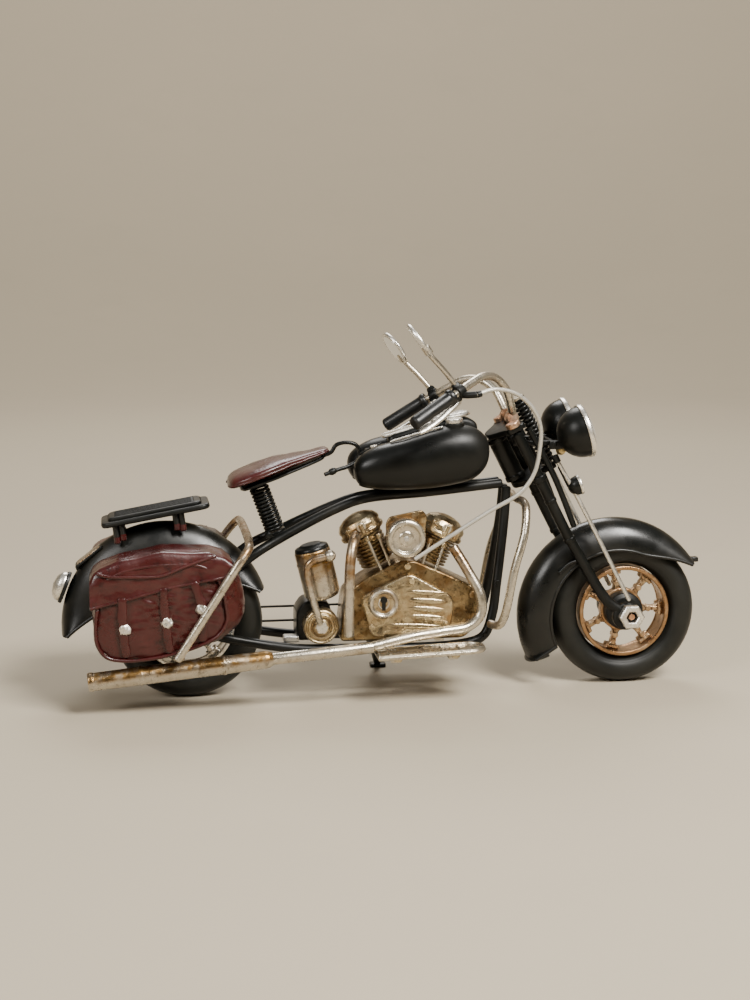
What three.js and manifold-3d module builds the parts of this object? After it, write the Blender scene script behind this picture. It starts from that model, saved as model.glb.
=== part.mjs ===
// A tin wind-up motorcycle: a hard-tail cruiser with a V-twin engine, leather-look saddlebags, a sprung saddle,
// a springer fork and a small clockwork inside the engine case that drives the rear wheel by a thin belt.
// Millimetres. +X is forwards, +Y is the rider's left, +Z is up. The origin is where the rear tyre rests.
import * as THREE from "three";
import { mergeVertices } from "three/addons/utils/BufferGeometryUtils.js";
import Module from "manifold-3d";

const wasm = await Module();
wasm.setup();

// ---------------------------------------------------------------- driving dimensions
const WHEELBASE = 139;
const TYRE_RADIUS = 23.5;
const TYRE_HEIGHT = 8.6;
const TYRE_HALF_WIDTH = 5.6;
const FENDER_HALF_WIDTH = 7.2;
const FENDER_WALL = 0.9;
const RAIL_RADIUS = 1.5;
const LEG_RADIUS = 1.7;
const AXLE_RADIUS = 1.0;
const BAG_DEPTH = 15.5;
const GUARD_RADIUS = 1.3;
const MUFFLER_RADIUS = 2.9;
const PIPE_RADIUS = 1.8;
const HEADER_RADIUS = 1.6;
const RAKE = THREE.MathUtils.degToRad(27);
const HEAD_HEIGHT = 74.2;
const HEAD_BACK = 38.6;
const HEAD_TUBE_RADIUS = 3.3;
const STEM_RADIUS = 1.7;
const SPOKES = 7;
const GEAR_MODULE = 0.9;
const DRIVE_TEETH = 14;
const PINION_TEETH = 7;
const CASE_RIGHT = -9.5;
const CASE_LEFT = 4.6;
const CASE_WALL = 1.3;
const BAR_TILT = THREE.MathUtils.degToRad(7);

// Clearances between neighbours.
const GAP = 0.35;
const RUNNING = 0.3;
const SIDE_GAP = 0.5;

// Places that follow from the driving dimensions.
const AXLE_Z = TYRE_RADIUS;
const RIM_RADIUS = TYRE_RADIUS - TYRE_HEIGHT - GAP;
const RAIL_Y = FENDER_HALF_WIDTH + SIDE_GAP + RAIL_RADIUS;
const BAG_INNER = RAIL_Y + RAIL_RADIUS + SIDE_GAP;
const BAG_OUTER = BAG_INNER + BAG_DEPTH;
const GUARD_Y = BAG_OUTER + SIDE_GAP + GUARD_RADIUS;
const LEG_Y = FENDER_HALF_WIDTH + SIDE_GAP + LEG_RADIUS;
const HEAD_X = WHEELBASE - HEAD_BACK;
const FORK_PLATE_HALF = LEG_RADIUS - 0.2;
const NUT_START = LEG_Y + LEG_RADIUS + GAP;
const RIGHT = -1;
const LEFT = 1;

const root = new THREE.Group();

// ---------------------------------------------------------------- finishes
const finish = (color, roughness, metalness) => new THREE.MeshStandardMaterial({ color, roughness, metalness });
const BLACK = finish(0x17191a, 0.42, 0.3);
const SILVER = finish(0xb9b09c, 0.35, 0.85);
const CAST = finish(0xa08d68, 0.45, 0.8);
const BRONZE = finish(0x9a6f3e, 0.4, 0.85);
const MAROON = finish(0x4d1a1a, 0.45, 0.0);
const RUBBER = finish(0x141514, 0.8, 0.0);
const COPPER = finish(0x9c5a35, 0.4, 0.9);
const STEEL = finish(0x8f8f8d, 0.35, 0.9);

// ---------------------------------------------------------------- solids
const vec = (x, y, z) => new THREE.Vector3(x, y, z);

function toSolid(geometry) {
  const bare = new THREE.BufferGeometry();
  const flat = geometry.index ? geometry.toNonIndexed() : geometry;
  bare.setAttribute("position", flat.getAttribute("position").clone());
  const merged = mergeVertices(bare, 1e-4);
  const vertProperties = new Float32Array(merged.attributes.position.array);
  const triVerts = new Uint32Array(merged.index.array);
  const solid = new wasm.Manifold(new wasm.Mesh({ numProp: 3, vertProperties, triVerts }));
  if (solid.volume() > 0) return solid;
  for (let i = 0; i < triVerts.length; i += 3) {
    const first = triVerts[i];
    triVerts[i] = triVerts[i + 1];
    triVerts[i + 1] = first;
  }
  return new wasm.Manifold(new wasm.Mesh({ numProp: 3, vertProperties, triVerts }));
}

function toGeometry(solid) {
  const mesh = solid.getMesh();
  const geometry = new THREE.BufferGeometry();
  geometry.setAttribute("position", new THREE.BufferAttribute(new Float32Array(mesh.vertProperties), 3));
  geometry.setIndex(new THREE.BufferAttribute(new Uint32Array(mesh.triVerts), 1));
  return geometry;
}

const join = (...pieces) => toGeometry(pieces.map(toSolid).reduce((a, b) => a.add(b)));
const cut = (body, ...tools) =>
  toGeometry(tools.map(toSolid).reduce((left, tool) => left.subtract(tool), toSolid(body)));

function add(name, geometry, material, parent = root) {
  const mesh = new THREE.Mesh(toGeometry(toSolid(geometry)), material);
  mesh.geometry.computeVertexNormals();
  mesh.name = name;
  parent.add(mesh);
  return mesh;
}

// A round bar along a smooth curve through the points.
function bar(points, radius, steps = 12, sides = 8) {
  const section = new THREE.Shape();
  for (let i = 0; i < sides; i++) {
    const a = ((i + 0.5) / sides) * Math.PI * 2;
    const corner = [radius * Math.cos(a), radius * Math.sin(a)];
    if (i === 0) section.moveTo(...corner);
    else section.lineTo(...corner);
  }
  section.closePath();
  const path =
    points.length === 2
      ? new THREE.LineCurve3(...points)
      : new THREE.CatmullRomCurve3(points, false, "centripetal");
  return new THREE.ExtrudeGeometry(section, { steps: points.length === 2 ? 1 : steps, extrudePath: path });
}

// A body of revolution whose axis starts at a point and runs along a direction; profile is [along, radius] pairs.
function turned(profile, at, direction, segments = 20) {
  const geometry = new THREE.LatheGeometry(
    profile.map(([along, radius]) => new THREE.Vector2(radius, along)),
    segments,
  );
  const turn = new THREE.Quaternion().setFromUnitVectors(vec(0, 1, 0), direction.clone().normalize());
  return geometry.applyQuaternion(turn).translate(at.x, at.y, at.z);
}

// A plain round rod or disc between two distances along a direction.
const disc = (at, direction, from, to, radius, segments = 16) =>
  turned([[from, 0], [from, radius], [to, radius], [to, 0]], at, direction, segments);

const block = (x0, x1, y0, y1, z0, z1) =>
  new THREE.BoxGeometry(x1 - x0, y1 - y0, z1 - z0).translate((x0 + x1) / 2, (y0 + y1) / 2, (z0 + z1) / 2);

// A plate with an outline in the X-Z plane, between two places across the bike.
function plate(outline, y0, y1, bevel = 0) {
  const shape = new THREE.Shape(outline.map(([x, z]) => new THREE.Vector2(x, z)));
  const options = {
    depth: y1 - y0 - 2 * bevel,
    bevelEnabled: bevel > 0,
    bevelThickness: bevel,
    bevelSize: bevel,
    bevelOffset: -bevel,
    bevelSegments: 2,
  };
  return new THREE.ExtrudeGeometry(shape, options).rotateX(Math.PI / 2).translate(0, y1 - bevel, 0);
}

// Rings of points joined into one closed body, with a fan of triangles on each end.
function loft(rings) {
  const count = rings[0].length;
  const middle = (ring) => ring.reduce((sum, p) => sum.add(p), vec(0, 0, 0)).divideScalar(count);
  const points = [...rings.flat(), middle(rings[0]), middle(rings.at(-1))];
  const faces = [];
  for (let i = 0; i + 1 < rings.length; i++)
    for (let j = 0; j < count; j++) {
      const a = i * count + j;
      const b = i * count + ((j + 1) % count);
      faces.push(a, b, a + count, b, b + count, a + count);
    }
  const last = (rings.length - 1) * count;
  for (let j = 0; j < count; j++) {
    const next = (j + 1) % count;
    faces.push(next, j, points.length - 2);
    faces.push(last + j, last + next, points.length - 1);
  }
  const geometry = new THREE.BufferGeometry().setFromPoints(points);
  geometry.setIndex(faces);
  return geometry;
}

// A squarish oval in the Y-Z plane at one X.
function oval(x, y, z, halfWidth, halfHeight, count = 16, squareness = 2.4) {
  return Array.from({ length: count }, (_, j) => {
    const a = (j / count) * Math.PI * 2;
    const round = (value) => Math.sign(value) * Math.abs(value) ** (2 / squareness);
    return vec(x, y + halfWidth * round(Math.cos(a)), z + halfHeight * round(Math.sin(a)));
  });
}

// Smooth interpolation of a table of [x, a, b, ...] stations.
function along(stations, t) {
  const position = t * (stations.length - 1);
  const i = Math.min(Math.floor(position), stations.length - 2);
  const f = position - i;
  const pick = (k) => stations[Math.max(0, Math.min(stations.length - 1, k))];
  const [p, q, r, s] = [pick(i - 1), pick(i), pick(i + 1), pick(i + 2)];
  return q.map(
    (_, k) =>
      0.5 * (2 * q[k] + (r[k] - p[k]) * f + (2 * p[k] - 5 * q[k] + 4 * r[k] - s[k]) * f * f
        + (3 * q[k] - p[k] - 3 * r[k] + s[k]) * f ** 3),
  );
}

// A sheet with a wall: outer(u, v) and inner(u, v) give the two skins, u along and v across.
function sheet(outer, inner, across, lengthwise) {
  const rings = [];
  for (let i = 0; i <= lengthwise; i++) {
    const u = i / lengthwise;
    const ring = [];
    for (let j = 0; j <= across; j++) ring.push(outer(u, j / across));
    for (let j = across; j >= 0; j--) ring.push(inner(u, j / across));
    rings.push(ring);
  }
  const count = rings[0].length;
  const faces = [];
  for (let i = 0; i < lengthwise; i++)
    for (let j = 0; j < count; j++) {
      const a = i * count + j;
      const b = i * count + ((j + 1) % count);
      faces.push(a, b, a + count, b, b + count, a + count);
    }
  const last = lengthwise * count;
  for (let j = 0; j < across; j++) {
    const k = count - 1 - j;
    faces.push(j + 1, j, k, j + 1, k, k - 1);
    faces.push(last + j, last + j + 1, last + k, last + j + 1, last + k - 1, last + k);
  }
  const geometry = new THREE.BufferGeometry().setFromPoints(rings.flat());
  geometry.setIndex(faces);
  return geometry;
}

const ACROSS = vec(0, 1, 0);
const mirrored = (points, side) => points.map((p) => vec(p.x, side * p.y, p.z));
const sideName = (side) => (side === RIGHT ? "right" : "left");

// ---------------------------------------------------------------- wheels
const TYRE_SEGMENTS = 32;
const HUB_RADIUS = 6.1;
const HUB_HALF = 6.0;
const BARREL_HALF = 4.8;
const BARREL_WALL = 1.1;
const SPOKE_WIDTH = 2.6;
const SPOKE_DEPTH = 2.6;
const RING_WALL = 1.2;

// The tyre's round section has a small flat on the tread; a facet of the ring lies flat on the ground.
function tyre(x) {
  const middle = TYRE_RADIUS - TYRE_HEIGHT / 2;
  const count = 10;
  const profile = [];
  for (let i = 0; i <= count; i++) {
    const a = ((i + 0.5) / count) * Math.PI * 2;
    const grow = 1 / Math.cos(Math.PI / count);
    profile.push([TYRE_HALF_WIDTH * Math.sin(a), middle + ((TYRE_HEIGHT / 2) * Math.cos(a)) * grow]);
  }
  const facet = Math.cos(Math.PI / TYRE_SEGMENTS);
  const ring = turned(profile.map(([y, r]) => [y, r / facet]), vec(0, 0, 0), ACROSS, TYRE_SEGMENTS);
  return ring.rotateY(Math.PI / TYRE_SEGMENTS).translate(x, 0, AXLE_Z);
}

// A cast rim: a barrel, a ring round the hub and flat spokes with a boss near each end.
function rim(x) {
  const at = vec(x, 0, AXLE_Z);
  const inner = RIM_RADIUS - BARREL_WALL;
  const ringRadius = HUB_RADIUS + RING_WALL;
  const ring = (r0, r1, half) =>
    turned([[-half, r0], [half, r0], [half, r1], [-half, r1], [-half, r0]], at, ACROSS, TYRE_SEGMENTS);
  const pieces = [ring(inner, RIM_RADIUS, BARREL_HALF), ring(HUB_RADIUS - RING_WALL / 2, ringRadius, SPOKE_DEPTH / 2)];
  for (let i = 0; i < SPOKES; i++) {
    const turn = (i / SPOKES) * Math.PI * 2;
    const from = ringRadius - RING_WALL / 2;
    const to = inner + BARREL_WALL / 2;
    const spoke = block(from, to, -SPOKE_DEPTH / 2, SPOKE_DEPTH / 2, -SPOKE_WIDTH / 2, SPOKE_WIDTH / 2);
    pieces.push(spoke.rotateY(-turn).translate(at.x, 0, at.z));
  }
  return join(...pieces);
}

function hub(x, half) {
  const bore = AXLE_RADIUS + RUNNING;
  const waist = HUB_RADIUS * 0.6;
  const shoulder = SPOKE_DEPTH / 2;
  const profile = [
    [-half, bore], [half, bore], [half, waist], [shoulder + 1, HUB_RADIUS], [-half, HUB_RADIUS], [-half, bore],
  ];
  return turned(profile, vec(x, 0, AXLE_Z), ACROSS, 20);
}

function wheels() {
  add("front_tyre", tyre(WHEELBASE), RUBBER);
  add("front_rim", join(rim(WHEELBASE), hub(WHEELBASE, HUB_HALF)), BRONZE);
  add("rear_tyre", tyre(0), RUBBER);
  const bore = AXLE_RADIUS + RUNNING;
  add("rear_rim", join(rim(0), hub(0, HUB_HALF), pulley(0, AXLE_Z, bore), collar(bore)), SILVER);
}

// ---------------------------------------------------------------- clockwork
const ARBOR_X = 59.9;
const ARBOR_Z = 30.4;
const GEAR_BACKLASH = 0.1;
const ARBOR_RADIUS = 1.4;
const GEAR_CENTRES = (GEAR_MODULE * (DRIVE_TEETH + PINION_TEETH)) / 2 + GEAR_BACKLASH;
const OUTPUT_ANGLE = THREE.MathUtils.degToRad(224);
const OUTPUT_X = ARBOR_X + GEAR_CENTRES * Math.cos(OUTPUT_ANGLE);
const OUTPUT_Z = ARBOR_Z + GEAR_CENTRES * Math.sin(OUTPUT_ANGLE);
const GEAR_Y = [-3.2, -1.4];
const BELT_Y = 6.8;
const BELT_RADIUS = 0.4;
const PULLEY_RADIUS = 2.2;
const PULLEY_HALF = 0.7;
const BOSS_DEPTH = 3.0;
const COVER_DEPTH = 2.5;
const COVER_FACE = CASE_RIGHT - GAP - COVER_DEPTH;
const KEY_SLOT = 1.0;

// A spur gear with straight-sided teeth, its first tooth (or gap) at the given angle.
function gear(x, z, teeth, y0, y1, bore, start) {
  const pitch = (GEAR_MODULE * teeth) / 2;
  const tip = pitch + GEAR_MODULE * 0.7;
  const foot = pitch - GEAR_MODULE * 0.95;
  const step = (Math.PI * 2) / teeth;
  const outline = [];
  for (let i = 0; i < teeth; i++) {
    const a = start + i * step;
    const corners = [[-0.3, foot], [-0.12, tip], [0.12, tip], [0.3, foot]];
    for (const [turn, radius] of corners)
      outline.push([x + radius * Math.cos(a + turn * step), z + radius * Math.sin(a + turn * step)]);
  }
  const wheel = plate(outline, y0, y1);
  return cut(wheel, disc(vec(x, 0, z), ACROSS, y0 - 1, y1 + 1, bore, 12));
}

function clockwork() {
  const arbor = vec(ARBOR_X, 0, ARBOR_Z);
  const output = vec(OUTPUT_X, 0, OUTPUT_Z);
  const keyEnd = COVER_FACE - BOSS_DEPTH + 1;
  const slot = block(-KEY_SLOT / 2, KEY_SLOT / 2, keyEnd - 1, keyEnd + 2, -3, 3).translate(ARBOR_X, 0, ARBOR_Z);
  add("winding_arbor", cut(disc(arbor, ACROSS, keyEnd, CASE_LEFT - 1, ARBOR_RADIUS, 16), slot), STEEL);

  add("drive_gear", gear(ARBOR_X, ARBOR_Z, DRIVE_TEETH, ...GEAR_Y, ARBOR_RADIUS + RUNNING, OUTPUT_ANGLE), STEEL);

  const turns = 3.25;
  const coil = [];
  const steps = 40;
  for (let i = 0; i <= steps; i++) {
    const a = (i / steps) * turns * Math.PI * 2;
    const r = ARBOR_RADIUS + RUNNING + 0.3 + (i / steps) * 3.2;
    coil.push([r * Math.cos(a), r * Math.sin(a)]);
  }
  const thickness = 0.3;
  const outside = coil.map(([cx, cz]) => {
    const r = Math.hypot(cx, cz);
    return [cx * (1 + thickness / r), cz * (1 + thickness / r)];
  });
  const ribbon = [...coil, ...outside.reverse()].map(([cx, cz]) => [ARBOR_X + cx, ARBOR_Z + cz]);
  add("mainspring", plate(ribbon, -7.6, -4.2), STEEL);

  const pinionStart = OUTPUT_ANGLE + Math.PI + Math.PI / PINION_TEETH;
  const pinionY = [GEAR_Y[0] - 0.5, GEAR_Y[1] + 0.5];
  const pinion = gear(OUTPUT_X, OUTPUT_Z, PINION_TEETH, ...pinionY, AXLE_RADIUS * 0.5, pinionStart);
  const shaft = disc(output, ACROSS, CASE_RIGHT + CASE_WALL + GAP, BELT_Y + PULLEY_HALF, AXLE_RADIUS, 12);
  add("output_shaft", join(pinion, shaft, pulley(OUTPUT_X, OUTPUT_Z, 0)), STEEL);
  add("drive_belt", belt(), RUBBER);
}

// The sleeve between the rear hub and its pulley.
const collar = (bore) =>
  turned(
    [[HUB_HALF - 1, bore], [BELT_Y, bore], [BELT_Y, bore + 0.5], [HUB_HALF - 1, bore + 0.5], [HUB_HALF - 1, bore]],
    vec(0, 0, AXLE_Z), ACROSS, 16,
  );

// A grooved belt pulley; the groove leaves the clearance round the belt.
function pulley(x, z, bore) {
  const groove = PULLEY_RADIUS - BELT_RADIUS - 0.15;
  const [y0, y1] = [BELT_Y - PULLEY_HALF, BELT_Y + PULLEY_HALF];
  const half = BELT_RADIUS + 0.12;
  const profile = [
    [y0, bore], [y1, bore], [y1, PULLEY_RADIUS], [BELT_Y + half, PULLEY_RADIUS], [BELT_Y + half, groove],
    [BELT_Y - half, groove], [BELT_Y - half, PULLEY_RADIUS], [y0, PULLEY_RADIUS], [y0, bore],
  ];
  return turned(profile, vec(x, 0, z), ACROSS, 16);
}

// The belt runs round two equal pulleys: a stadium outline with its middle cut out.
function belt() {
  const lean = Math.atan2(AXLE_Z - OUTPUT_Z, OUTPUT_X);
  const ends = [[OUTPUT_X, OUTPUT_Z, -Math.PI / 2], [0, AXLE_Z, Math.PI / 2]];
  const loop = (radius) =>
    ends.flatMap(([x, z, start]) =>
      Array.from({ length: 9 }, (_, i) => {
        const a = start + (i / 8) * Math.PI - lean;
        return [x + radius * Math.cos(a), z + radius * Math.sin(a)];
      }),
    );
  const outer = plate(loop(PULLEY_RADIUS + BELT_RADIUS), BELT_Y - BELT_RADIUS, BELT_Y + BELT_RADIUS);
  return cut(outer, plate(loop(PULLEY_RADIUS - BELT_RADIUS + 0.2), BELT_Y - 1, BELT_Y + 1));
}

// ---------------------------------------------------------------- frame
const RAIL_TOP_END = vec(HEAD_X - 1.2, 2.3, HEAD_HEIGHT - 8.8);
const DOWN_TOP = vec(HEAD_X + 0.2, 2.3, HEAD_HEIGHT - 9.8);
const CASE_X = [46.9, 91];
const CASE_BOTTOM = 17.6;
const LOWER_RAIL_Z = CASE_BOTTOM - GAP - RAIL_RADIUS;
const BRACKET_X = 27.5;
const BRACKET_Z = 49.6;
const STAND_PIVOT = vec(60, 13.6, 12.4);
const PLATE_RADIUS = 3.0;
const SPRING_RADIUS = 3.2;
const SPRING_FOOT = vec(BRACKET_X + 0.2, 0, BRACKET_Z + 2.4);
const SPRING_HEAD = vec(22.8, 0, 65.4);

// Backbone, bend down behind the saddle spring, then the stay to the rear axle.
const railPoints = [
  RAIL_TOP_END,
  vec(76, 2.5, 63.1),
  vec(55, 3.0, 61.4),
  vec(46, 3.8, 58.4),
  vec(BRACKET_X, 7.0, BRACKET_Z),
  vec(19.6, RAIL_Y, 45.2),
  vec(9, RAIL_Y, AXLE_Z + 13),
  vec(0.5, RAIL_Y, AXLE_Z + 1),
];

// Down tube, bend under the engine, then the lower rail to the rear axle.
const cradlePoints = [
  DOWN_TOP,
  vec(HEAD_X - 0.6, 3.2, HEAD_HEIGHT - 20),
  vec(HEAD_X - 3.4, 6.0, 34),
  vec(HEAD_X - 5.2, 7.8, 24),
  vec(HEAD_X - 8, 8.6, LOWER_RAIL_Z + 2.2),
  vec(HEAD_X - 15, 9.2, LOWER_RAIL_Z),
  vec(CASE_X[0] - 4, 10.2, LOWER_RAIL_Z),
  vec(34, 10.2, LOWER_RAIL_Z + 0.3),
  vec(16.6, RAIL_Y + 0.8, 18.9),
  vec(PLATE_RADIUS + 1.2, RAIL_Y, AXLE_Z - 1.6),
];

const HEAD_BOTTOM = -8.6;
const HEAD_TOP = 6.2;
const UP = vec(0, 0, 1);

function outOfHead(geometry) {
  return geometry.rotateY(-RAKE).translate(HEAD_X, 0, HEAD_HEIGHT);
}

function frame() {
  const tube = (radius, from, to) => outOfHead(disc(vec(0, 0, 0), UP, from, to, radius, 20));
  const headClear = tube(HEAD_TUBE_RADIUS + GAP, HEAD_BOTTOM - 2, HEAD_TOP + 2);
  const head = cut(
    tube(HEAD_TUBE_RADIUS, HEAD_BOTTOM, HEAD_TOP),
    tube(STEM_RADIUS + RUNNING, HEAD_BOTTOM - 1, HEAD_TOP + 1),
  );
  add("head_tube", head, BLACK);
  for (const side of [RIGHT, LEFT]) {
    const name = sideName(side);
    const axle = vec(0, side * RAIL_Y, AXLE_Z);
    const bore = disc(axle, ACROSS, -4, 4, AXLE_RADIUS + GAP);
    const dropout = disc(axle, ACROSS, -1.1, 1.1, PLATE_RADIUS);
    const welded = side === RIGHT ? [dropout, springBracket()] : [dropout];
    const rail = join(bar(mirrored(railPoints, side), RAIL_RADIUS, 18), ...welded);
    add(`upper_rail_${name}`, cut(rail, bore, headClear), BLACK);
    const cradle = bar(mirrored(cradlePoints, side), RAIL_RADIUS, 26);
    const railClear = bar(mirrored(railPoints, side), RAIL_RADIUS + GAP, 18);
    const plateClear = disc(axle, ACROSS, -3, 3, PLATE_RADIUS + GAP);
    const trimmed = cut(cradle, headClear, railClear, plateClear);
    add(`cradle_${name}`, side === LEFT ? join(trimmed, standLug()) : trimmed, BLACK);
  }
  const axleEnd = RAIL_Y + 1.5;
  add("rear_axle", disc(vec(0, 0, AXLE_Z), ACROSS, -axleEnd, axleEnd, AXLE_RADIUS), STEEL);
}

// A cross bar between the rails with the cup that carries the saddle spring.
function springBracket() {
  const half = 7.0 - RAIL_RADIUS - GAP;
  const cross = disc(vec(BRACKET_X, 0, BRACKET_Z), ACROSS, -7, half, 1.4, 10);
  const direction = SPRING_HEAD.clone().sub(SPRING_FOOT).normalize();
  return join(cross, disc(SPRING_FOOT, direction, -2.6, -GAP, SPRING_RADIUS, 12));
}

// The kickstand's lug hangs under the left lower rail, with the pivot pin through its end.
function standLug() {
  const { x, y, z } = STAND_PIVOT;
  const pin = disc(STAND_PIVOT, ACROSS, -3.2, 1.9, 0.5);
  return join(pin, block(x - 1.6, x + 1.6, y - 5.2, y - 1.4 - GAP, z - 1.4, z + 2.2));
}

// ---------------------------------------------------------------- fenders
// The section is a half oval; its sides get shallow towards both ends, so each end runs out to a point.
function fender(x, z, radius, depth, from, to, points) {
  const place = (wall) => (u, v) => {
    const turn = THREE.MathUtils.degToRad(from + (to - from) * u);
    const tipIn = Math.min(1, u / points[0], (1 - u) / points[1]);
    const reach = 1.6 + (depth - 1.6) * Math.sin((Math.PI / 2) * Math.max(0, tipIn));
    const a = (v - 0.5) * Math.PI;
    const r = radius - wall - (reach - wall) * (1 - Math.cos(a));
    return vec(x + r * Math.cos(turn), (FENDER_HALF_WIDTH - wall) * Math.sin(a), z + r * Math.sin(turn));
  };
  return sheet(place(0), place(FENDER_WALL), 8, 18);
}

const REAR_FENDER = { x: -6.3, z: AXLE_Z - 0.3, radius: TYRE_RADIUS + 8.8 };
const FRONT_FENDER = { x: WHEELBASE - 3, z: AXLE_Z - 1.2, radius: TYRE_RADIUS + 7.5 };

function rearFender() {
  const rear = fender(REAR_FENDER.x, REAR_FENDER.z, REAR_FENDER.radius, 12, 184, 20, [0.16, 0.2]);
  add("rear_fender", rear, BLACK);
}

const frontFender = () => fender(FRONT_FENDER.x, FRONT_FENDER.z, FRONT_FENDER.radius, 9.5, 207, 33, [0.03, 0.22]);

// ---------------------------------------------------------------- rack, lamp, plate, bags, guard, muffler
const RACK_SLOPE = THREE.MathUtils.degToRad(10);
const RACK_CENTRE = vec(-9.3, 0, REAR_FENDER.z + REAR_FENDER.radius + 3.4);
const RACK_LENGTH = 33.5;
const RACK_HALF = 8.6;
const RACK_BASE = 1.5;
const RACK_TOP = 1.3;
const RACK_LEG = 0.75;

function rack() {
  const rounded = (half, length, z0, z1) => {
    const shape = new THREE.Shape();
    const corner = 2;
    const [x, y] = [length / 2, half];
    shape.moveTo(-x + corner, -y);
    shape.lineTo(x - corner, -y);
    shape.quadraticCurveTo(x, -y, x, -y + corner);
    shape.lineTo(x, y - corner);
    shape.quadraticCurveTo(x, y, x - corner, y);
    shape.lineTo(-x + corner, y);
    shape.quadraticCurveTo(-x, y, -x, y - corner);
    shape.lineTo(-x, -y + corner);
    shape.quadraticCurveTo(-x, -y, -x + corner, -y);
    return new THREE.ExtrudeGeometry(shape, { depth: z1 - z0, bevelEnabled: false, curveSegments: 4 })
      .translate(0, 0, z0);
  };
  const deck = join(
    rounded(RACK_HALF, RACK_LENGTH, -RACK_BASE, 0),
    rounded(RACK_HALF - 2, RACK_LENGTH - 4.5, -0.2, RACK_TOP),
  ).rotateY(-RACK_SLOPE).translate(RACK_CENTRE.x, 0, RACK_CENTRE.z);
  const legs = [];
  for (const side of [RIGHT, LEFT])
    for (const x of [-21.6, -19.8, -3.4, -1.6]) {
      const top = RACK_CENTRE.z + (x - RACK_CENTRE.x) * Math.tan(RACK_SLOPE) - RACK_BASE / 2;
      const foot = REAR_FENDER.z + Math.sqrt(REAR_FENDER.radius ** 2 - (x - REAR_FENDER.x) ** 2) - 2.5;
      legs.push(bar([vec(x, side * 6.2, top), vec(x + 0.8, side * 6.9, foot)], RACK_LEG, 1, 6));
    }
  const fenderClear = fender(REAR_FENDER.x, REAR_FENDER.z, REAR_FENDER.radius + GAP, 14, 190, 10, [0.01, 0.01]);
  const hollow = disc(vec(REAR_FENDER.x, 0, REAR_FENDER.z), ACROSS, -7, 7, REAR_FENDER.radius - 1, 24);
  add("luggage_rack", cut(join(deck, ...legs), fenderClear, hollow), BLACK);
}

function tailLamp() {
  const onFender = (degrees, out) => {
    const a = THREE.MathUtils.degToRad(degrees);
    const r = REAR_FENDER.radius + out;
    return vec(REAR_FENDER.x + r * Math.cos(a), 0, REAR_FENDER.z + r * Math.sin(a));
  };
  const facing = (degrees) => onFender(degrees, 1).sub(onFender(degrees, 0));
  const base = onFender(158.5, GAP + 0.5);
  const lamp = turned([[0, 0], [0, 3.4], [1.6, 3.6], [3.2, 2.6], [4.0, 0]], vec(0, 0, 0), vec(0, 0, 1), 16)
    .scale(1.35, 1, 1);
  const turn = new THREE.Quaternion().setFromUnitVectors(vec(0, 0, 1), facing(158.5));
  add("tail_lamp", lamp.applyQuaternion(turn).translate(base.x, 0, base.z), SILVER);
}

const BAG_OUTLINE = [
  [-28.5, 38], [-29, 30], [-27.5, 22.5], [-23, 19.2], [-8, 18.8], [6, 20], [13, 23.5], [16.8, 29],
  [16.6, 35.5], [13.5, 45.5], [9, 48], [-8, 49.2], [-22, 46.5], [-26.5, 43.5],
];

function saddlebags() {
  for (const side of [RIGHT, LEFT]) {
    const [y0, y1] = side === RIGHT ? [-BAG_OUTER, -BAG_INNER] : [BAG_INNER, BAG_OUTER];
    add(`saddlebag_${sideName(side)}`, plate(BAG_OUTLINE, y0, y1, 3), MAROON);
  }
}

function rearGuard() {
  const half = [
    vec(-4.2, GUARD_Y + 0.2, 18),
    vec(6, GUARD_Y, 33.5),
    vec(14.6, GUARD_Y, 46.8),
    vec(17.6, GUARD_Y - 2.5, 50.6),
    vec(18.2, GUARD_Y - 9, 51.6),
    vec(18.4, 6, 51.8),
  ];
  const path = [...mirrored(half, RIGHT), ...half.reverse()];
  add("rear_guard", bar(path, GUARD_RADIUS, 28), SILVER);
}

const MUFFLER_Y = -22;
function muffler() {
  const rear = vec(-30.5, MUFFLER_Y, 10.6);
  const front = vec(25, MUFFLER_Y, 16);
  const pipeEnd = vec(56.2, MUFFLER_Y + 1.8, 18.2);
  const direction = front.clone().sub(rear);
  const length = direction.length();
  const r = MUFFLER_RADIUS;
  const profile = [
    [length - 4, 0], [length - 4, r - 0.9], [0, r - 0.9], [0, r], [length - 1, r], [length, r * 0.8], [length, 0],
  ];
  const pipe = bar([front.clone().lerp(rear, 0.05), vec(40, MUFFLER_Y, 17.2), pipeEnd], PIPE_RADIUS, 6, 10);
  return join(turned(profile, rear, direction, 18), pipe);
}

// ---------------------------------------------------------------- engine
const CASE_OUTLINE = [
  [CASE_X[0], CASE_BOTTOM], [86, CASE_BOTTOM], [CASE_X[1], 22], [CASE_X[1], 33],
  [82, 37.4], [70.4, 42.6], [65.6, 42.6], [54.8, 37.2], [48.6, 32.6],
];
const COVER_OUTLINE = [[52.8, 32], [56.6, 19.3], [81.6, 20.6], [82.4, 31.2], [68.4, 39.4]];
const CYLINDERS = [
  { name: "rear", base: vec(60.4, 0, 40.6), top: vec(54.2, 0, 52.6) },
  { name: "front", base: vec(75.7, 0, 40.6), top: vec(80.9, 0, 51.4) },
];
const FIN_RADIUS = 5.6;
const BARREL_RADIUS = 4.4;

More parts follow.
